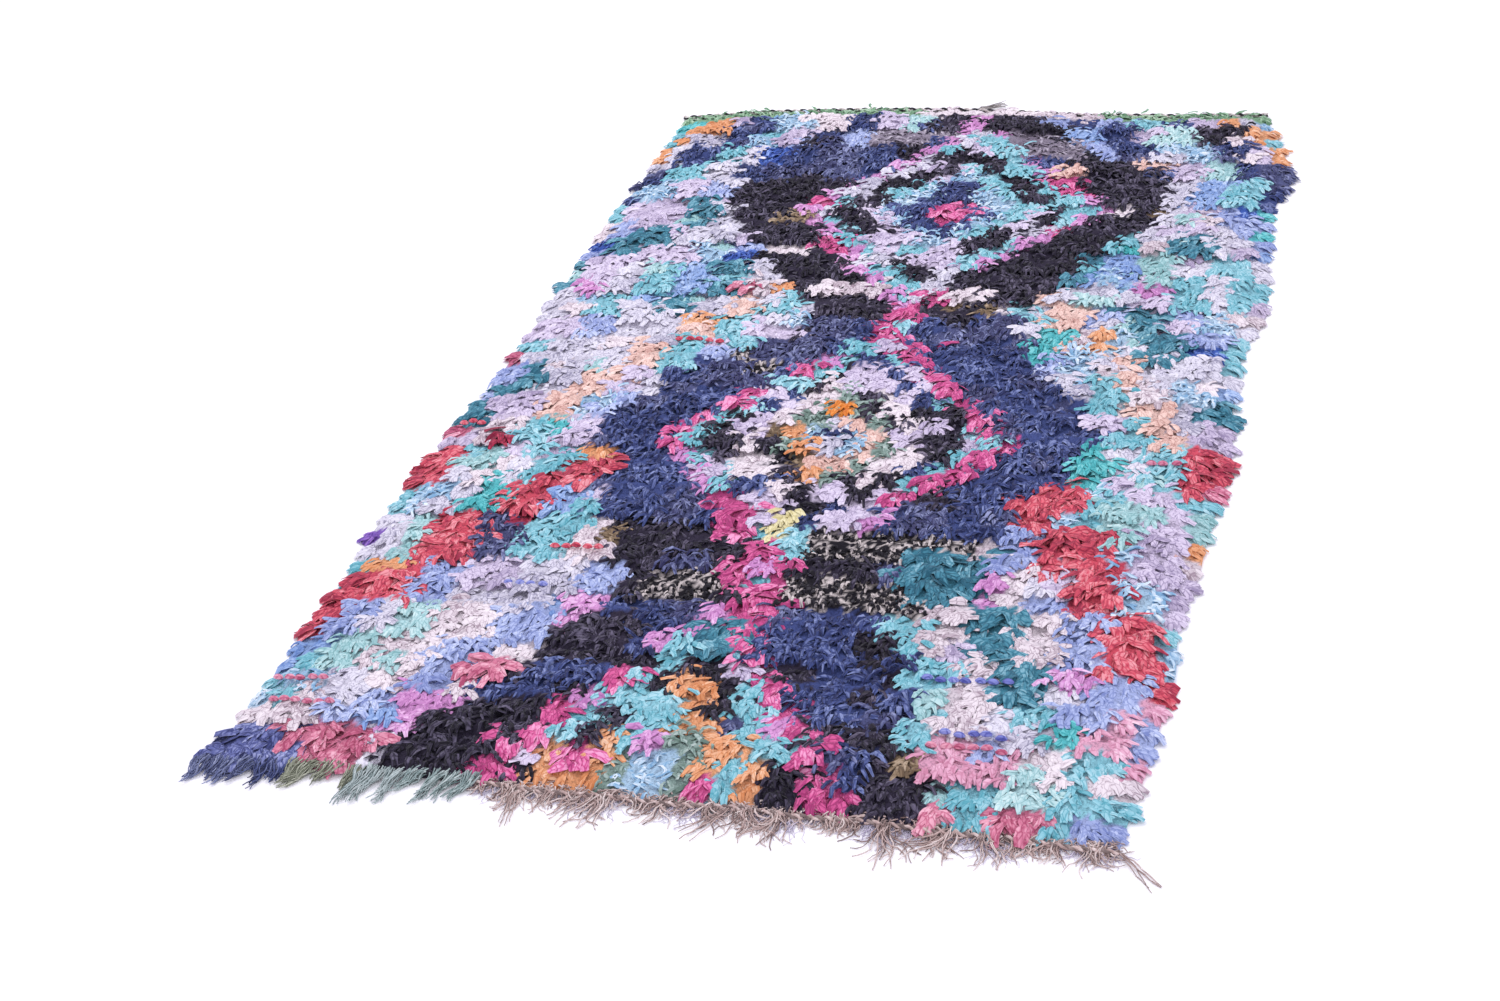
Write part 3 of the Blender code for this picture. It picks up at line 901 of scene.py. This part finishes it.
def slab_height():
    """A function that reads how high the solid slab's lumpy top lies at a place in rug measures."""
    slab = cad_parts["rug_pile"].data
    places = [vert.co for vert in slab.vertices]
    tree = BVHTree.FromPolygons(places, [face.vertices for face in slab.polygons])

    def height(x, y):
        above = Vector(to_frame(np.float64(x), np.float64(y), ABOVE_ALL))
        hit = tree.ray_cast(above, Vector((0, 0, -1)))[0]
        return hit.z / MM if hit else SLAB_RIM

    return height


# How knots stand. The two outermost at each side lean out over the edge and droop to the floor, and
# those of the near row droop too. Heights are in millimetres, leans in radians.
LOT_WANDER = (6, 9)
SIDE_LEANS = (1.25, 0.5)
SIDE_DROOPS = (1.0, 0.3)
INNER_LEAN = 0.3
LEAST_PILE = 12.0
LAST_ROW_HEIGHT = 0.75
FIRST_ROW_DROOP = 0.8
FIRST_ROW_BACK = 8
CLUMP_TONE = 0.16
KNOT_TONE = 0.10


def knots(height):
    """Every knot by its dye lot: place, pile height, lean, droop and tone. Also the chart of lots."""
    lots = defaultdict(list)
    chart = []
    for row in range(KNOT_ROWS):
        for column in range(KNOTS_ACROSS):
            x, y = on_rug((column + 0.5) / KNOTS_ACROSS, (row + 0.5) / KNOT_ROWS)
            dye = dye_at(x + noise(None, LOT_WANDER[0]), y + noise(None, LOT_WANDER[1]))
            from_side = min(column, KNOTS_ACROSS - 1 - column)
            at_side = from_side < len(SIDE_LEANS)
            outward = -1 if column < KNOTS_ACROSS / 2 else 1
            lean = outward * SIDE_LEANS[from_side] if at_side else noise(None, INNER_LEAN)
            droop = SIDE_DROOPS[from_side] if at_side else 0.0
            pile = max(height(x, y), LEAST_PILE)
            if row == KNOT_ROWS - 1:
                pile *= LAST_ROW_HEIGHT
            if row == 0:
                droop = max(droop, FIRST_ROW_DROOP)
                y += FIRST_ROW_BACK
            clump_tone = CLUMP_TONE * (2 * chance(*clump(x, y), "tone") - 1)
            tone = MIDDLE_SHADE + clump_tone + noise(None, KNOT_TONE)
            x += noise(None, KNOT_SHIFT)
            y += noise(None, ROW_SHIFT)
            lots[dye].append((x, y, pile, lean, droop, tone))
            chart.append((dye, tone))
    return lots, chart


def rag_pile(lots):
    pieces = []
    for name, lot in sorted(lots.items()):
        dye = DYES[name]
        cut = CUTS[dye.cut]
        finish = dyed_rag(f"{name}_{dye.cut}_rag", dye)
        pieces.append(add_piece(f"rags_{name}", *rag_strips(lot, cut), finish, sharp=cut.sharp))
    return pieces


BED_COLUMNS = 212
BED_ROWS = 384
BED_RIM_CELLS = 7
BED_SHARE = 0.865
BED_EDGE = 4.0
BED_CRUMPLE = 1.8
BED_SIDEWAYS = 2.2
BED_SHARP = 75
ROW_STEP = 3.0
LOT_EDGE_WANDER = 0.15
PALE_CUTS = ("crepe", "jersey")
# Roots sit between the deep and middle shades of their lot, a painted shade down among the rags, less deep
# for the pale cuts.
ROOT_TONES = (0.30, 0.45)
PALEST_ROOT = 1.2
PALE_ROOTS = 0.35
ROOT_UNEVEN = 0.12


def bed_colour(name, tone):
    """The colour of a knot's roots: its lot's colour, darkened as painted shade to between the deep and
    middle shades.
    """
    deep, middle, pale = (np.array(linear(code)) for code in DYES[name][1:])
    if DYES[name].cut == "fleck":
        return pale if dice.random() < PALE_ROOTS else deep
    share = tone + noise(None, ROOT_UNEVEN) + ROOT_TONES[DYES[name].cut in PALE_CUTS]
    return deep + (middle - deep) * np.clip(share, 0, PALEST_ROOT)


def bed_surface(height):
    """The bed's lumpy top: places across and along the rug, and the corners in the frame."""
    across, along = np.meshgrid(
        np.linspace(0, 1, BED_COLUMNS + 1), np.linspace(0, 1, BED_ROWS + 1), indexing="ij"
    )
    x, y = on_rug(across, along)
    from_side = np.minimum(across, 1 - across) * BED_COLUMNS
    from_end = np.minimum(along, 1 - along) * BED_ROWS
    inner = np.clip(np.minimum(from_side, from_end) / BED_RIM_CELLS, 0, 1)
    slab = np.array([height(*spot) for spot in zip(x.ravel(), y.ravel())]).reshape(x.shape)
    step = ROW_STEP * (0.5 - (along * KNOT_ROWS) % 1)
    top = slab * BED_SHARE + step + noise(x.shape, BED_CRUMPLE)
    z = BED_EDGE + (top - BED_EDGE) * inner
    aside = inner * BED_SIDEWAYS
    return across, along, to_frame(x + noise(x.shape, 1) * aside, y + noise(x.shape, 1) * aside, z)


def knot_at(share, count):
    """Which column or row of knots a place belongs to, with ragged borders."""
    return np.clip((share * count + noise(share.shape, LOT_EDGE_WANDER)).astype(int), 0, count - 1)


def woven_sheet(height, chart):
    """The ground weave with the knots' roots packed on it: a closed sheet, its top as lumpy as the
    solid slab and stepped at every row, its underside flat on the floor."""
    across, along, top = bed_surface(height)
    index = np.arange(across.size).reshape(across.shape)
    upper = np.stack((index[:-1, :-1], index[1:, :-1], index[1:, 1:], index[:-1, 1:]), -1).reshape(-1, 4)
    rim = np.concatenate((index[:, 0], index[-1, 1:], index[-2::-1, -1], index[0, -2:0:-1]))
    floor_rim = np.arange(len(rim)) + index.size
    corners = np.concatenate((top.reshape(-1, 3), top.reshape(-1, 3)[rim] * (1, 1, 0)))
    walls = np.stack((rim, floor_rim, np.roll(floor_rim, -1), np.roll(rim, -1)), -1)
    mesh = bpy.data.meshes.new("woven_ground")
    mesh.from_pydata(corners.tolist(), [], upper.tolist() + walls.tolist() + [floor_rim[::-1].tolist()])
    column = knot_at(across, KNOTS_ACROSS)
    row = knot_at(along, KNOT_ROWS)
    # Each knot's roots take their lot's colour, darkened as painted shade.
    colours = [bed_colour(*chart[at]) for at in (row * KNOTS_ACROSS + column).ravel()]
    colours += [colours[at] for at in rim]
    dyed = mesh.attributes.new("dye", "FLOAT_COLOR", "POINT")
    dyed.data.foreach_set("color", np.array(colours, dtype=np.float32).ravel())
    finish_mesh(mesh, knotted_bed(), BED_SHARP)
    piece = new_piece(mesh, "rag_pile")
    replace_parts(piece, "rug_pile")
    return piece


# Length of a turn, swing and radius of a ply, height of the middle and distance past the pile's edge.
Twine = namedtuple("Twine", "turn swing radius rise past_edge")
FAR_TWINE = Twine(38, 3.0, 2.7, 5.9, 6.5)
HEADING_TWINE = Twine(23, 2.2, 2.2, 7.0, -8.0)
PLY_CORNERS = 8
TWINE_FLATNESS = 0.8
PLY_UNEVEN = 0.08
PLY_TONE = 0.25


def twine(plies, x, y, size, slot):
    """Two yarns that turn about each other along an edge."""
    pieces = []
    around = math.tau * np.arange(PLY_CORNERS) / PLY_CORNERS
    for number, (name, finish) in enumerate(plies):
        turn = math.tau * x / size.turn + math.pi * number
        aside = np.cos(turn) * size.swing * TWINE_FLATNESS
        line = to_frame(x, y + aside, size.rise + np.sin(turn) * size.swing)[None]
        thick = size.radius * (1 + noise((1, len(x), 1), PLY_UNEVEN))
        across, lift = -thick * np.cos(around), thick * np.sin(around)
        corners = sweep(line, np.zeros((1, len(x))), across * MM, lift * MM)
        tone = np.clip(MIDDLE_SHADE + noise((1, len(x), 1), PLY_TONE), 0, 1)
        places = np.stack((across, x[None, :, None] + 0 * across, tone + 0 * across), axis=-1)
        faces = strip_faces(1, len(x), PLY_CORNERS)
        pieces.append(add_piece(name, corners, faces, places, finish, slot=slot))
    return pieces


YARN_CORNERS = 3
YARN_WANDER = 0.7
CRIMPS = 3
LOCK_WAVES = 1.3
LOCK_WAVE = 0.42
YARN_FALL = 1.6
YARN_SAG = 1.5
YARN_ROLL = 1.0
YARN_LIFT = 0.9
YARN_TAPER = 0.4
YARN_UNEVEN = 0.15
YARN_FLOOR_GAP = 0.4


def kinked_yarns(x, y, heading, length, thick, low, high, tone, steps=9, kink=0.5, wave=None):
    """Loose yarns that wander over the floor from their roots, with their crimp still in them, or with
    the wave of the lock that they lie in."""
    each, all_steps = (len(x), 1), (len(x), steps)
    share = np.linspace(0, 1, steps)
    x, y, heading, length, thick, low, high, tone = (
        column[:, None] for column in (x, y, heading, length, thick, low, high, tone)
    )
    turn = heading + np.cumsum(noise(all_steps, kink), axis=1) * YARN_WANDER
    if wave is None:
        turn = turn + kink * np.sin(math.tau * (share * CRIMPS + dice.random(each)))
    else:
        turn = turn + LOCK_WAVE * np.sin(math.tau * (share * LOCK_WAVES + wave[:, None]))
    stride = length / (steps - 1)
    plan_x = x + np.cumsum(np.sin(turn) * stride, axis=1)
    plan_y = y - np.cumsum(np.cos(turn) * stride, axis=1)
    fallen = np.minimum(1, share * YARN_FALL) ** YARN_SAG
    z = high + (low - high) * fallen + noise(all_steps, YARN_LIFT)
    radius = thick / 2 * (1 - YARN_TAPER * share**2) * (1 + noise(all_steps, YARN_UNEVEN))
    around = math.tau * np.arange(YARN_CORNERS) / YARN_CORNERS + math.pi / 2
    across, lift = radius[..., None] * -np.cos(around), radius[..., None] * np.sin(around)
    roll = noise(each, YARN_ROLL) + 0 * share
    corners = sweep(to_frame(plan_x, plan_y, z), roll, across * MM, lift * MM)
    corners[..., 2] = np.maximum(corners[..., 2], YARN_FLOOR_GAP * MM)
    places = strip_places(across, share * length, np.clip(tone, 0, 1))
    return corners, strip_faces(len(x), steps, YARN_CORNERS), places


def add_yarns(name, yarns, finish, slot="warp_yarn"):
    return add_piece(name, *yarns, finish, slot=slot, sharp=YARN_SHARP)


def near_edge(x):
    _, _, near, _ = edges_at(x, 0)
    return near


def far_edge(x):
    _, _, _, far = edges_at(x, 0)
    return far


# The fringe, in millimetres and radians. Curls mat the heading, and ends past it lie in tufts.
FRINGE_LEFT, FRINGE_RIGHT = 425, 1362
DARK_WARP = (985, 1130)
DARK_SHADE = 0.5
WARP_SHADE = (0.55, 0.22)
WARP_THICK = (1.8, 3.2)
WARP_HIGH = (3, 12)
WARP_KINK = 0.62
CURLS = 560
CURL_ROOTS = (-12, 9)
CURL_AIM = 2.6
CURL_LENGTH = (13, 26)
CURL_LOW = 4.0
TUFT_PITCH = 33
TUFT_SHIFT = 13
TUFT_REACH = (30, 74)
SHORT_TUFTS = 1.2
TUFT_AIM = (-0.2, 0.5)
TUFT_HALF_WIDTH = 10
TUFT_CLOSING = 0.25
ENDS_PER_TUFT = 20
END_ROOTS = (-4, 8)
END_STRAY = 0.15
END_SHARE = (0.6, 1.2)
END_LOW = 1.5


def warp_tone(x):
    """Warp ends are dark in one stretch, where another spinning was used, and pale elsewhere."""
    dark = (x > DARK_WARP[0]) & (x < DARK_WARP[1])
    return dice.normal(*WARP_SHADE, len(x)) - DARK_SHADE * dark * dice.random(len(x))


def warp_ends(finish):
    """A matted heading of tight curls along the near edge, and tufts of kinked ends that reach past it."""
    tufts = np.arange(FRINGE_LEFT, FRINGE_RIGHT, TUFT_PITCH) + 0.0
    tufts += noise(tufts.shape, TUFT_SHIFT)
    ends = len(tufts) * ENDS_PER_TUFT
    shortest, longest = TUFT_REACH
    longer = dice.random(tufts.shape) ** SHORT_TUFTS
    reach = np.repeat(shortest + (longest - shortest) * longer, ENDS_PER_TUFT)
    aim = np.repeat(dice.normal(*TUFT_AIM, tufts.shape), ENDS_PER_TUFT)
    beside = noise(ends, 1)
    in_tufts = np.repeat(tufts, ENDS_PER_TUFT) + beside * TUFT_HALF_WIDTH
    x = np.concatenate((dice.uniform(FRINGE_LEFT, FRINGE_RIGHT, CURLS), in_tufts))
    wave = np.concatenate((dice.random(CURLS), np.repeat(dice.random(tufts.shape), ENDS_PER_TUFT)))
    root = np.concatenate((dice.uniform(*CURL_ROOTS, CURLS), dice.uniform(*END_ROOTS, ends)))
    heading = np.concatenate((
        noise(CURLS, CURL_AIM), aim - beside * TUFT_CLOSING + noise(ends, END_STRAY),
    ))
    length = np.concatenate((dice.uniform(*CURL_LENGTH, CURLS), reach * dice.uniform(*END_SHARE, ends)))
    yarns = kinked_yarns(
        x, near_edge(x) + root, heading, length, dice.uniform(*WARP_THICK, len(x)),
        np.repeat((CURL_LOW, END_LOW), (CURLS, ends)), dice.uniform(*WARP_HIGH, len(x)), warp_tone(x),
        kink=WARP_KINK, wave=wave,
    )
    piece = add_yarns("warp_ends", yarns, finish)
    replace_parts(piece, "warp_fringe")
    return piece


# Pale lilac fibre laid on the floor under the fringe as its painted shadow.
SHADOW_FIBRES = 720
SHADOW_FIBRE_STEPS = 6
SHADOW_FIBRE_ROOTS = 4
SHADOW_FIBRE_AIM = (-0.1, 0.5)
SHADOW_FIBRE_SPREAD = 30
SHADOW_FIBRE_BAYS = ((14, 23), (8, 9))
SHADOW_FIBRE_SHARE = (0.5, 1.3)
SHADOW_FIBRE_THICK = (1.0, 1.8)
SHADOW_FIBRE_LOW = 0.8
SHADOW_FIBRE_HIGH = (1.5, 5)
SHADOW_FIBRE_SHADE = (0.2, 1.0)
SHADOW_FIBRE_KINK = 0.7


def warp_lint():
    """Pale lilac short fibre on the floor between the tufts, further out in some places: the fringe's
    painted shadow, laid as fibre.
    """
    x = dice.uniform(FRINGE_LEFT, FRINGE_RIGHT, SHADOW_FIBRES)
    spread = sum((size * np.sin(x / run) for size, run in SHADOW_FIBRE_BAYS), SHADOW_FIBRE_SPREAD)
    yarns = kinked_yarns(
        x, near_edge(x) + noise(SHADOW_FIBRES, SHADOW_FIBRE_ROOTS), dice.normal(*SHADOW_FIBRE_AIM, SHADOW_FIBRES),
        spread * dice.uniform(*SHADOW_FIBRE_SHARE, SHADOW_FIBRES), dice.uniform(*SHADOW_FIBRE_THICK, SHADOW_FIBRES),
        np.full(SHADOW_FIBRES, SHADOW_FIBRE_LOW), dice.uniform(*SHADOW_FIBRE_HIGH, SHADOW_FIBRES), dice.uniform(*SHADOW_FIBRE_SHADE, SHADOW_FIBRES),
        steps=SHADOW_FIBRE_STEPS, kink=SHADOW_FIBRE_KINK,
    )
    # The lilac shades of the painted shadow.
    return add_yarns("warp_lint", yarns, spun_wool("painted_shadow_fibre", "#aca3bb", "#cdc4d9", "#e8e2f0"))


HEADING_STEP = 4.0
HEADING_BOW = 2.4
HEADING_BOW_RUN = 31
HEADING_WOBBLE = 0.9


def heading_twine(finish):
    """Two plies twined through the warp ends along the near edge, a little out of line by hand."""
    x = np.arange(FRINGE_LEFT, FRINGE_RIGHT, HEADING_STEP)
    bow = HEADING_BOW * np.sin(x / HEADING_BOW_RUN)
    y = near_edge(x) + HEADING_TWINE.past_edge + bow + noise(x.shape, HEADING_WOBBLE)
    brown = spun_wool("heading_brown_wool", "#4c403f", "#7d6c69", "#aa9893")
    plies = (("heading_dark_ply", brown), ("heading_pale_ply", finish))
    return twine(plies, x, y, HEADING_TWINE, "warp_yarn")


# How far roots and directions vary, then spans of reach, thickness, height at tip and root, and shade.
Yarns = namedtuple("Yarns", "roots turn reach thick low high shade")
TAIL_KINK = 0.12


def thin_tail(x, y, heading, reach, yarns):
    """Yarns that lie together like a thin tail."""
    count = len(x)
    y, heading = y + noise(count, yarns.roots), heading + noise(count, yarns.turn)
    spans = (yarns.reach, yarns.thick, yarns.low, yarns.high, yarns.shade)
    share, *others = (dice.uniform(*span, count) for span in spans)
    return kinked_yarns(x, y, heading, reach * share, *others, kink=TAIL_KINK)


Tail = namedtuple("Tail", "x aim reach")
TAILS = (Tail(492, 0.05, 78), Tail(820, -0.7, 84), Tail(1356, 0.8, 84))
ENDS_PER_TAIL = 5
TAIL_HALF_WIDTH = 3.5
UNCUT = Yarns(3, 0.06, (0.8, 1.0), (1.8, 2.6), (1.4, 3.0), (4, 8), (0.1, 0.7))


def uncut_ends(finish):
    """Three places where a few warp ends were left long and lie together."""
    x, aim, reach = np.repeat(np.array(TAILS), ENDS_PER_TAIL, axis=0).T
    beside = noise(len(x), TAIL_HALF_WIDTH)
    yarns = thin_tail(x + beside, near_edge(x), aim, reach, UNCUT)
    return add_yarns("uncut_warp_ends", yarns, finish)


def fringe():
    """The near end's warp ends with what is twined through them, and pale fibre laid between them as
    their painted shadow on the floor.
    """
    finish = spun_wool("kinked_warp_wool", "#7c6561", "#c2a9a3", "#efe1dc")
    return [warp_ends(finish), warp_lint(), *heading_twine(finish), uncut_ends(finish)]


Locks = namedtuple("Locks", "first last count reach lean deep middle pale")
LOCKS = (
    # first and last place across, how many, reach past the pile, lean, shades
    Locks(-8, 60, 4, (40, 64), -0.45, "#3c4268", "#666f98", "#a0a8c8"),
    Locks(92, 120, 2, (38, 54), -0.1, "#262c50", "#454f80", "#7680ac"),
    Locks(140, 232, 4, (44, 68), -0.45, "#666b5c", "#989c88", "#c8cab8"),
    Locks(252, 304, 3, (66, 86), -0.15, "#7e9090", "#aebcbb", "#d6dedd"),
    Locks(340, 420, 4, (48, 70), -0.55, "#6e8483", "#9fb1af", "#ccd7d5"),
)
THREADS_PER_LOCK = 40
LOCK_HALF_WIDTH = 17
LOCK_SHIFT = 7
LOCK_LEAN = 0.25
LOCK_CLOSING = 0.34
LOCK_POINT = 0.30
LOCK_PHASE = 0.08
LOCK_ROOTS = (-2, 14)
THREAD_SHARE = (0.6, 1.05)
THREAD_THICK = (2.0, 3.4)
THREAD_LOW = (1.2, 8.0)
THREAD_HIGH = (6, 17)
THREAD_TONE = (0.5, 0.24)
THREAD_KINK = 0.10


def yarn_locks(number, locks):
    """Ends of plied yarn that hang out under the last row, in flat wavy locks that close to a point."""
    middles = np.linspace(locks.first, locks.last, locks.count) + noise(locks.count, LOCK_SHIFT)
    x = np.repeat(middles, THREADS_PER_LOCK)
    count = len(x)
    beside = noise(count, 1)
    lean = np.repeat(locks.lean + noise(locks.count, LOCK_LEAN), THREADS_PER_LOCK)
    wave = np.repeat(dice.random(locks.count), THREADS_PER_LOCK) + beside * LOCK_PHASE
    reach = np.repeat(dice.uniform(*locks.reach, locks.count), THREADS_PER_LOCK)
    yarns = kinked_yarns(
        x + beside * LOCK_HALF_WIDTH, near_edge(x) + dice.uniform(*LOCK_ROOTS, count),
        lean - beside * LOCK_CLOSING,
        reach * (1 - LOCK_POINT * np.abs(beside)) * dice.uniform(*THREAD_SHARE, count),
        dice.uniform(*THREAD_THICK, count), dice.uniform(*THREAD_LOW, count),
        dice.uniform(*THREAD_HIGH, count), dice.normal(*THREAD_TONE, count), kink=THREAD_KINK, wave=wave,
    )
    finish = spun_wool(f"plied_yarn_{number}", locks.deep, locks.middle, locks.pale)
    return add_yarns(f"yarn_locks_{number}", yarns, finish, slot="rag_pile")


Stitches = namedtuple("Stitches", "left right y dye")
STITCHES = (
    # from, to, how far along, dye lot
    Stitches(1035, 1100, 335, "violet"),
    Stitches(1118, 1160, 332, "violet"),
    Stitches(1090, 1180, 205, "violet"),
    Stitches(300, 375, 505, "violet"),
    Stitches(345, 430, 607, "red"),
    Stitches(335, 420, 1342, "red"),
    Stitches(1075, 1190, 182, "rose"),
    Stitches(20, 110, 218, "rose"),
    Stitches(40, 150, 160, "rose"),
    Stitches(1290, 1350, 960, "rose"),
    Stitches(10, 70, 1010, "red"),
)
STITCH_PITCH = 20
STITCH_LENGTH = 17
STITCH_WIDTH = 12
STITCH_HALF_HEIGHT = 4.2
STITCH_RISE = 5.0
STITCH_ARCH = 2.0
STITCH_SHIFT = 2
STITCH_SLANT = 3
STITCH_STEPS = 5
STITCH_CORNERS = 6
STITCH_POINT = 1.9
STITCH_TIP = 0.02
STITCH_SHADE = (0.3, 0.8)


def weft_stitches(height):
    """Slim rows of thick weft that lie on top of the pile, each a line of short dashes."""
    pieces = []
    around = math.tau * np.arange(STITCH_CORNERS) / STITCH_CORNERS
    share = np.linspace(-0.5, 0.5, STITCH_STEPS)
    swell = np.sqrt(np.maximum(1 - (STITCH_POINT * share) ** 2, STITCH_TIP))
    for name in sorted({row.dye for row in STITCHES}):
        spots = [
            (x + noise(None, STITCH_SHIFT), row.y + noise(None, STITCH_SHIFT))
            for row in STITCHES if row.dye == name
            for x in range(row.left, row.right, STITCH_PITCH)
        ]
        x, y = np.array(spots).T[..., None]
        base = np.array([max(height(*spot), LEAST_PILE) for spot in spots])[:, None]
        slant = noise(x.shape, STITCH_SLANT) * share
        z = base + STITCH_RISE + STITCH_ARCH * swell
        lines = to_frame(x + share * STITCH_LENGTH, y + slant, z)
        each = 0 * x[..., None]
        across = STITCH_WIDTH / 2 * swell[:, None] * -np.cos(around) + each
        lift = STITCH_HALF_HEIGHT * swell[:, None] * np.sin(around) + each
        corners = sweep(lines, np.zeros((len(x), STITCH_STEPS)), across * MM, lift * MM)
        tone = dice.uniform(*STITCH_SHADE, (len(x), 1, 1))
        along = (share * STITCH_LENGTH)[:, None]
        places = np.stack((across, along + 0 * across, tone + 0 * across), axis=-1)
        faces = strip_faces(len(x), STITCH_STEPS, STITCH_CORNERS)
        finish = dyed_rag(f"{name}_stitch_cotton", DYES[name])
        pieces.append(add_piece(f"stitches_{name}", corners, faces, places, finish))
    return pieces


BAND_START = (862, 1664)
BAND_REACH = 46
BAND_BEND = 10
BAND_RISE = 20
BAND_TOP = 42
BAND_WIDTH = 6.0
BAND_THICK = 1.4
BAND_ROLL = 0.5
BAND_STEPS = 17
BAND_LENGTH = 60
BAND_BULGE = 0.7
BAND_SHADE = 0.2


def stray_band(height):
    """A loose loop of black band that stands a little out of the pile beside the far lozenge."""
    left, middle = BAND_START
    share = np.linspace(0, 1, BAND_STEPS)
    base = max(height(left + BAND_REACH / 2, middle), LEAST_PILE)
    z = np.minimum(base + BAND_RISE * np.sin(math.pi * share) ** BAND_BULGE, BAND_TOP)
    line = to_frame(left + BAND_REACH * share, middle + BAND_BEND * np.sin(math.tau * share), z)[None]
    each = np.zeros((1, BAND_STEPS, 1))
    across = BAND_WIDTH / 2 * np.array((-1, -1, 1, 1)) + each
    lift = BAND_THICK / 2 * np.array((-1, 1, 1, -1)) + each
    corners = sweep(line, np.full((1, BAND_STEPS), BAND_ROLL), across * MM, lift * MM)
    along = BAND_LENGTH * share[None, :, None] + 0 * lift
    places = np.stack((across, along, BAND_SHADE + 0 * lift), axis=-1)
    faces = strip_faces(1, BAND_STEPS, across.shape[-1])
    finish = dyed_rag("black_band_cotton", DYES["black"])
    return add_piece("stray_band", corners, faces, places, finish)


FRAYED_AT = 700
FRAYED_YARNS = 26
FRAYED_HALF_WIDTH = 7
FRAYED_PAST_EDGE = 8
FRAYED_AIM = 2.0
FRAYED = Yarns(2, 0.16, (34, 62), (1.6, 2.6), (6, 14), (6, 12), (0.2, 0.9))


def cord_tuft():
    """A frayed end of the twined cord that sticks out past the far edge."""
    x = FRAYED_AT + noise(FRAYED_YARNS, FRAYED_HALF_WIDTH)
    yarns = thin_tail(x, far_edge(x) + FRAYED_PAST_EDGE, FRAYED_AIM, 1, FRAYED)
    finish = spun_wool("frayed_grey_wool", "#55504e", "#98918f", "#cfc8c6")
    return add_yarns("cord_tuft", yarns, finish, slot="twined_wool")


CORD_SPAN = (-17, 1366)
CORD_STEP = 3.0


def twined_cord():
    """The far end's closing cord: a dark and a pale ply that turn about each other."""
    plies = (
        ("dark_ply", spun_wool("twined_dark_ply", "#1c1a1e", "#2f2c32", "#5a5558")),
        ("pale_ply", spun_wool("twined_pale_ply", "#a39a98", "#d6ccc8", "#f1ebe6")),
    )
    x = np.arange(*CORD_SPAN, CORD_STEP)
    pieces = twine(plies, x, far_edge(x) + FAR_TWINE.past_edge, FAR_TWINE, "twined_wool")
    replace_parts(pieces[0], "end_cord")
    return pieces


# The stage and the camera


Lamp = namedtuple("Lamp", "name place size watts")
LAMPS = (
    # name, place and size in metres, power
    Lamp("soft_key", (-1.6, 1.2, 3.6), 2.2, 62),
    Lamp("soft_fill", (2.6, -2.6, 3.2), 3.0, 32),
)
PAPER_ROUGHNESS = 0.9
AIR_LIGHT = 1.02
FLOOR_SIZE = 200
FLOOR_DROP = 0.0004


def stage():
    """A pale seamless floor under large soft lamps."""
    bpy.ops.mesh.primitive_plane_add(size=FLOOR_SIZE, location=(0, 0, -FLOOR_DROP))
    floor = bpy.context.object
    floor.name = "studio_floor"
    material, _, shader = new_finish("white_studio_paper", PAPER_ROUGHNESS, specular=0.5)
    shader.inputs["Base Color"].default_value = linear("#fbfafc")
    floor.data.materials.append(material)
    world = bpy.data.worlds.new("studio_air")
    world.use_nodes = True
    air = world.node_tree.nodes["Background"]
    air.inputs["Color"].default_value = linear("#f4f2ff")
    air.inputs["Strength"].default_value = AIR_LIGHT
    bpy.context.scene.world = world
    for lamp in LAMPS:
        panel = bpy.data.lights.new(lamp.name, "AREA")
        panel.size = lamp.size
        panel.energy = lamp.watts
        light = bpy.data.objects.new(lamp.name, panel)
        light.location = lamp.place
        light.rotation_euler = (-Vector(lamp.place)).to_track_quat("-Z", "Y").to_euler()
        bpy.context.scene.collection.objects.link(light)


# The camera, in metres from the rug's near left corner, with the directions of its own axes.
CAMERA_PLACE = (1.702, -2.147, 1.950)
CAMERA_RIGHT = (0.956, 0.270, -0.118)
CAMERA_UP = (-0.048, 0.536, 0.843)
CAMERA_BACK = (0.291, -0.800, 0.525)
LENS_MM = 51.8
SENSOR_MM = 36


def camera():
    """The photo's view, from beyond the near right corner."""
    lens = bpy.data.cameras.new("camera")
    lens.lens = LENS_MM
    lens.sensor_width = SENSOR_MM
    eye = bpy.data.objects.new("camera", lens)
    turn = Matrix((CAMERA_RIGHT, CAMERA_UP, CAMERA_BACK)).transposed().to_4x4()
    x, y, z = CAMERA_PLACE
    place = Vector((MIDDLE_X + x - HALF_WIDTH * MM, NEAR_Y + y, z))
    eye.matrix_world = Matrix.Translation(place) @ turn
    bpy.context.scene.collection.objects.link(eye)
    bpy.context.scene.camera = eye


def main():
    camera()
    stage()
    bpy.context.scene.view_settings.view_transform = "Standard"
    height = slab_height()
    lots, chart = knots(height)
    pieces = rag_pile(lots)
    pieces += [yarn_locks(number, locks) for number, locks in enumerate(LOCKS, start=1)]
    pieces += fringe() + twined_cord() + [cord_tuft()]
    pieces += weft_stitches(height) + [stray_band(height)]
    ground = woven_sheet(height, chart)


main()
